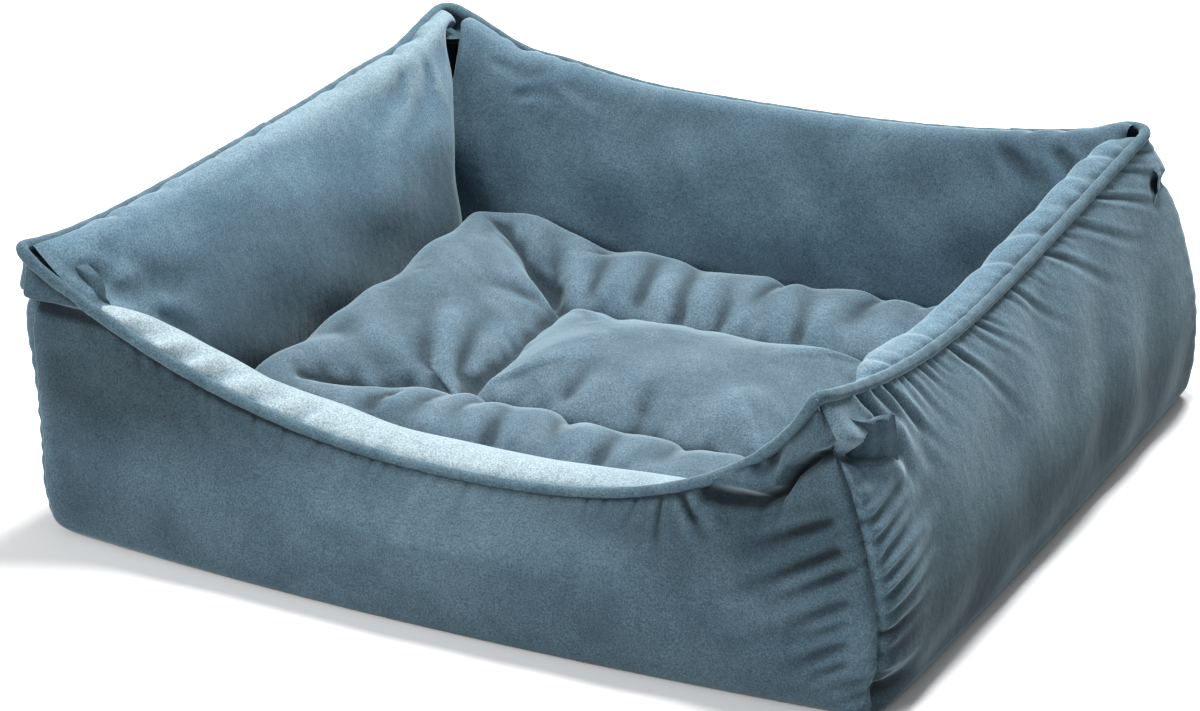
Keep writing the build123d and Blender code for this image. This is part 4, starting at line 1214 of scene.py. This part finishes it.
def smooth_solid(name, code, roughness, grain):
    """Moulded or enamelled small part: one colour, with faint wear in its gloss."""
    material, tree, shader = finish_of(name, Base_Color=linear(code), Metallic=0.0, IOR=1.5)
    place = add(tree, "ShaderNodeTexCoord").outputs["Object"]
    wear = add(tree, "ShaderNodeTexNoise", [("Scale", pattern(grain)), ("Detail", 3.0)], [("Vector", place)])
    gloss = add(tree, "ShaderNodeMapRange", [("To Min", roughness - 0.06), ("To Max", roughness + 0.1)],
                [("Value", wear.outputs["Fac"])])
    tree.links.new(gloss.outputs["Result"], shader.inputs["Roughness"])
    return material


PLAIN = {
    # spun polypropylene felt: dark grey and matt
    "base_cloth": plain_cloth("base_felt_dark", "#2a3035", 2.4),
    # plain-woven polyester lining in the bed's colour: flatter than the velvet
    "floor_cloth": plain_cloth("floor_lining_slate", "#42545f", 1.2),
    # upholstery foam: cream and open-celled
    "foam": plain_cloth("foam_cream", "#ddd6bd", 1.6),
    # spun polyester thread: a shade darker than the velvet
    "thread": plain_cloth("thread_slate", "#33454f", 0.6),
    # woven polyester tape: darker and flatter than the velvet
    "zip_tape": plain_cloth("zip_tape_woven", "#3a4b56", 0.8),
    # moulded nylon coil: satin
    "zip_coil": smooth_solid("zip_nylon_satin", "#3d505c", 0.38, 6.0),
    # enamelled zinc: satin, so its paint hides the metal
    "zip_metal": smooth_solid("zip_enamel_satin", "#46555e", 0.32, 5.0),
    # moulded rubber dots that keep the base from sliding: black-grey and dull
    "grip": smooth_solid("grip_dots_rubber", "#1f2427", 0.6, 8.0),
}


# Base and floor under the cushion
def rings_mesh(name, loops, flip=False, closed=False):
    """A surface through rings of points with a middle point in the first ring, and in the last if closed."""
    count = len(loops[0])
    points = [p for loop in loops for p in loop] + [np.mean(loops[0], axis=0)]
    faces = ring_faces(len(loops), count)
    faces += [((j + 1) % count, j, len(points) - 1) for j in range(count)]
    if closed:
        points.append(np.mean(loops[-1], axis=0))
        last = (len(loops) - 1) * count
        faces += [(last + j, last + (j + 1) % count, len(points) - 1) for j in range(count)]
    if flip:
        faces = [tuple(reversed(face)) for face in faces]
    return mesh_object(name, np.array(points), faces)


def shrunk(loop, share, z):
    """A ring drawn in to a share of its size and set at a height in millimetres."""
    made = loop * share
    made[:, 2] = z * MM
    return made


def rounded_loop(half_x, half_y, radius):
    """Outline of a rounded rectangle, in metres."""
    points = []
    for cx, cy, start in ((1, 1, 0), (-1, 1, 90), (-1, -1, 180), (1, -1, 270)):
        for angle in np.radians(np.linspace(start, start + 90, 9)):
            points.append((cx * (half_x - radius) + radius * math.cos(angle),
                           cy * (half_y - radius) + radius * math.sin(angle), 0.0))
    return np.array(points) * MM


# Rings of each piece: a share of its outline and a height in millimetres
BASE_LEVEL, BASE_SHARES = 1.0, (0.05, 0.3, 0.6, 0.9, 0.995)
WELL_HALF, WELL_ROUND = (276.0, 241.0), 12.0
FLOOR_CLOTH_RINGS = ((0.05, 13.6), (0.4, 13.5), (0.8, 13.3), (1.0, 12.9))
PAD_RINGS = ((0.3, 1.7), (0.985, 1.7), (0.995, 2.6), (0.995, 11.4), (0.985, 12.3), (0.3, 12.3))
foot = np.concatenate([wall_point(side, np.linspace(-1, 1, 60)[:-1], OVER_FLOOR) for side in ORDER])
well = rounded_loop(*WELL_HALF, WELL_ROUND)
base = rings_mesh("base_cloth_felt", [shrunk(foot, share, BASE_LEVEL) for share in BASE_SHARES])
floor_cloth = rings_mesh("floor_cloth_lining", [shrunk(well, *ring) for ring in FLOOR_CLOTH_RINGS], flip=True)
floor_pad = rings_mesh("floor_pad_foam", [shrunk(well, *ring) for ring in PAD_RINGS], closed=True)


# Small pieces that repeat, made with Geometry Nodes
def repeat_tree(name, along):
    """A tree that sets a small rounded bar at every step along the lines, or one at every point."""
    tree = bpy.data.node_groups.new(name, "GeometryNodeTree")
    face = tree.interface
    face.new_socket("Geometry", in_out="INPUT", socket_type="NodeSocketGeometry")
    for title in ("Step", "Width", "Length"):
        face.new_socket(title, in_out="INPUT", socket_type="NodeSocketFloat")
    face.new_socket("Finish", in_out="INPUT", socket_type="NodeSocketMaterial")
    face.new_socket("Geometry", in_out="OUTPUT", socket_type="NodeSocketGeometry")
    start = add(tree, "NodeGroupInput")
    bar = add(tree, "GeometryNodeMeshUVSphere", [("Segments", 6), ("Rings", 4), ("Radius", 0.5)])
    width = start.outputs["Width"]
    size = add(tree, "ShaderNodeCombineXYZ", (), [("X", width), ("Y", width), ("Z", start.outputs["Length"])])
    places, turn = start.outputs["Geometry"], None
    if along:
        curve = add(tree, "GeometryNodeMeshToCurve", (), [("Mesh", start.outputs["Geometry"])])
        even = add(tree, "GeometryNodeResampleCurve", (),
                   [("Curve", curve.outputs["Curve"]), ("Length", start.outputs["Step"])], mode="LENGTH")
        places = even.outputs["Curve"]
        tangent = add(tree, "GeometryNodeInputTangent")
        turn = add(tree, "FunctionNodeAlignRotationToVector", (), [("Vector", tangent.outputs["Tangent"])],
                   axis="Z")
    put = add(tree, "GeometryNodeInstanceOnPoints", (),
              [("Points", places), ("Instance", bar.outputs["Mesh"]), ("Scale", size.outputs["Vector"])])
    if turn:
        tree.links.new(turn.outputs["Rotation"], put.inputs["Rotation"])
    real = add(tree, "GeometryNodeRealizeInstances", (), [("Geometry", put.outputs["Instances"])])
    painted = add(tree, "GeometryNodeSetMaterial", (),
                  [("Geometry", real.outputs["Geometry"]), ("Material", start.outputs["Finish"])])
    add(tree, "NodeGroupOutput", (), [("Geometry", painted.outputs["Geometry"])])
    return tree


def repeated(name, lines, tree, finish, step, width, length):
    """Runs a tree on lines of points, in metres, and keeps the result as a plain mesh. Sizes are in mm."""
    points, edges = [], []
    for line in lines:
        edges += [(len(points) + i, len(points) + i + 1) for i in range(len(line) - 1)]
        points += [tuple(p) for p in line]
    mesh = bpy.data.meshes.new(name + "_places")
    mesh.from_pydata(points, edges, [])
    obj = bpy.data.objects.new(name + "_places", mesh)
    bpy.context.scene.collection.objects.link(obj)
    modifier = obj.modifiers.new("repeat", "NODES")
    modifier.node_group = tree
    given = {"Step": step * MM, "Width": width * MM, "Length": length * MM, "Finish": finish}
    for socket in tree.interface.items_tree:
        if socket.in_out == "INPUT" and socket.name in given:
            modifier[socket.identifier] = given[socket.name]
    graph = bpy.context.evaluated_depsgraph_get()
    made = bpy.data.meshes.new_from_object(obj.evaluated_get(graph))
    made.name = name
    bpy.data.objects.remove(obj)
    new = bpy.data.objects.new(name, made)
    bpy.context.scene.collection.objects.link(new)
    return new


def on_cushion(line, lift):
    """Points along a quilting seam, set on the finished cover."""
    grid = sheets["cushion_top"]["fine"].reshape(-1, 3)
    points = []
    (x0, y0), (x1, y1) = line
    for share in np.linspace(0.01, 0.99, 46):
        at = np.array([x0 + (x1 - x0) * share, y0 + (y1 - y0) * share]) * MM
        near = np.argsort(((grid[:, :2] - at) ** 2).sum(axis=1))[:4]
        points.append((at[0], at[1], grid[near, 2].mean() + lift * MM))
    return points


# Millimetres: step, width and length of each repeated piece, and where its rows lie
STITCH_LIFT, STITCH = 0.5, (4.2, 0.8, 3.0)
TEETH_HALF_ROW, TEETH_AT, TEETH_LEVEL, TOOTH = 139, 203.7, 28.2, (1.5, 3.4, 1.1)
DOT_REACH, DOT_SPACING, DOT_LEVEL, DOT = (320, 300), 20.0, 0.8, (0, 5.0, 1.6)

along_lines, on_points = repeat_tree("stitch_row", True), repeat_tree("dot_field", False)
quilting = repeated("quilting_stitches", [on_cushion(run, STITCH_LIFT) for run in quilt_runs()], along_lines,
                    PLAIN["thread"], *STITCH)
teeth_x = np.linspace(-TEETH_HALF_ROW, TEETH_HALF_ROW, 40)
teeth_row = [(x * MM, TEETH_AT * MM, TEETH_LEVEL * MM) for x in teeth_x]
teeth = repeated("zip_coil_teeth", [teeth_row], along_lines, PLAIN["zip_coil"], *TOOTH)
dots_x, dots_y = (np.arange(-reach, reach + 1, DOT_SPACING) for reach in DOT_REACH)
dots = [(x * MM, y * MM, DOT_LEVEL * MM) for x in dots_x for y in dots_y]
grip = repeated("base_grip_dots", [[dot] for dot in dots], on_points, PLAIN["grip"], *DOT)

# What each cover is to the bed: its slot, its body, and the nodes that it stands for
for name, sheet in sheets.items():
    obj, slot = sheet["obj"], slot_of(name)
    obj.data.materials.append(VELVETS[slot])
    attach(obj, "cushion" if name.startswith("cushion") else "bed")
    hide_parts(*sheet["nodes"])
for obj, slot, node in ((base, "base_cloth", "base_cloth"), (floor_cloth, "floor_cloth", "floor_cloth"),
                        (floor_pad, "foam", "floor_pad")):
    obj.data.materials.append(PLAIN[slot])
    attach(obj, "bed")
    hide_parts(node)
for obj, slot, node in ((quilting, "thread", "quilting_thread"), (teeth, "zip_coil", "zip_coil")):
    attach(obj, "cushion")
    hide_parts(node)
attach(grip, "bed")

# Finishes of the part's own solids: the zip's are seen, and the others stand under the covers
NODE_FINISH = {"zip_tape": "zip_tape", "zip_coil": "zip_coil", "zip_stops": "zip_metal",
               "zip_slider": "zip_metal", "zip_pull": "zip_metal"}
for name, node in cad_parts.items():
    finish = PLAIN[NODE_FINISH[name]] if name in NODE_FINISH else VELVETS["velvet_inner"]
    for part in node.material_slots:
        part.material = finish


# Floor, world, lamps and camera
def seen_directly(tree):
    """1 for what the camera sees straight, mirrored or through glass, and 0 for the light that it gives."""
    path = add(tree, "ShaderNodeLightPath")
    seen = path.outputs["Is Camera Ray"]
    for ray in ("Is Glossy Ray", "Is Transmission Ray"):
        either = add(tree, "ShaderNodeMath", (), [(0, seen), (1, path.outputs[ray])], operation="MAXIMUM")
        seen = either.outputs[0]
    return seen


# Half the floor's width in metres, and how far it lies under the bed so that the two don't flicker
FLOOR_HALF, FLOOR_DROP = 6.0, 0.0005
# Light that the floor and the sky give, against the white that the camera sees
FLOOR_GREY, SKY_LIGHT = 0.6, 0.28


def stage_floor():
    """A white floor to stand on, which gives less light than the camera sees."""
    mesh = bpy.data.meshes.new("floor")
    corners = [(-1, -1), (1, -1), (1, 1), (-1, 1)]
    mesh.from_pydata([(x * FLOOR_HALF, y * FLOOR_HALF, -FLOOR_DROP) for x, y in corners], [], [(0, 1, 2, 3)])
    floor = bpy.data.objects.new("floor", mesh)
    bpy.context.scene.collection.objects.link(floor)
    material, tree, shader = finish_of("pale floor", Roughness=1.0)
    mix = add(tree, "ShaderNodeMix", [("A", (FLOOR_GREY, FLOOR_GREY, FLOOR_GREY, 1)), ("B", (1, 1, 1, 1))],
              [("Factor", seen_directly(tree))], data_type="RGBA")
    tree.links.new(mix.outputs["Result"], shader.inputs["Base Color"])
    mesh.materials.append(material)


def studio_world():
    """A white surround, which gives less light than the camera sees."""
    world = bpy.data.worlds.new("studio")
    bpy.context.scene.world = world
    world.use_nodes = True
    tree = world.node_tree
    back = tree.nodes["Background"]
    back.inputs["Color"].default_value = (1, 1, 1, 1)
    level = add(tree, "ShaderNodeMix", [(2, SKY_LIGHT), (3, 1.0)], [(0, seen_directly(tree))])
    tree.links.new(level.outputs[0], back.inputs["Strength"])


def lamp(name, at, size, power):
    """A round softbox at a place in metres, turned to the middle of the bed."""
    data = bpy.data.lights.new(name, "AREA")
    data.shape = "DISK"
    data.size = size
    data.energy = power
    obj = bpy.data.objects.new(name, data)
    obj.location = at
    obj.rotation_euler = (Vector((0, 0, 0.1)) - Vector(at)).to_track_quat("-Z", "Y").to_euler()
    bpy.context.scene.collection.objects.link(obj)


def photo_camera(azimuth, elevation, distance, target):
    """The camera that took the photograph: its two angles in degrees, and metres to the point it looks at."""
    turn, rise = math.radians(azimuth), math.radians(elevation)
    away = Vector((math.sin(turn) * math.cos(rise), -math.cos(turn) * math.cos(rise), math.sin(rise)))
    data = bpy.data.cameras.new("camera")
    data.lens, data.sensor_width = 120.0, 36.0
    camera = bpy.data.objects.new("camera", data)
    camera.location = Vector(target) + away * distance
    camera.rotation_euler = (-away).to_track_quat("-Z", "Y").to_euler()
    bpy.context.scene.collection.objects.link(camera)
    bpy.context.scene.camera = camera


stage_floor()
studio_world()
lamp("overhead", (0.05, 0.45, 2.5), 0.7, 70)
lamp("front", (-0.9, -2.2, 1.3), 0.9, 42)
lamp("rear", (0.0, 2.2, 2.0), 0.9, 64)
photo_camera(26.75, 22.9, 3.110, (0.0056, -0.0701, 0.1148))
bpy.context.scene.view_settings.view_transform = "Standard"
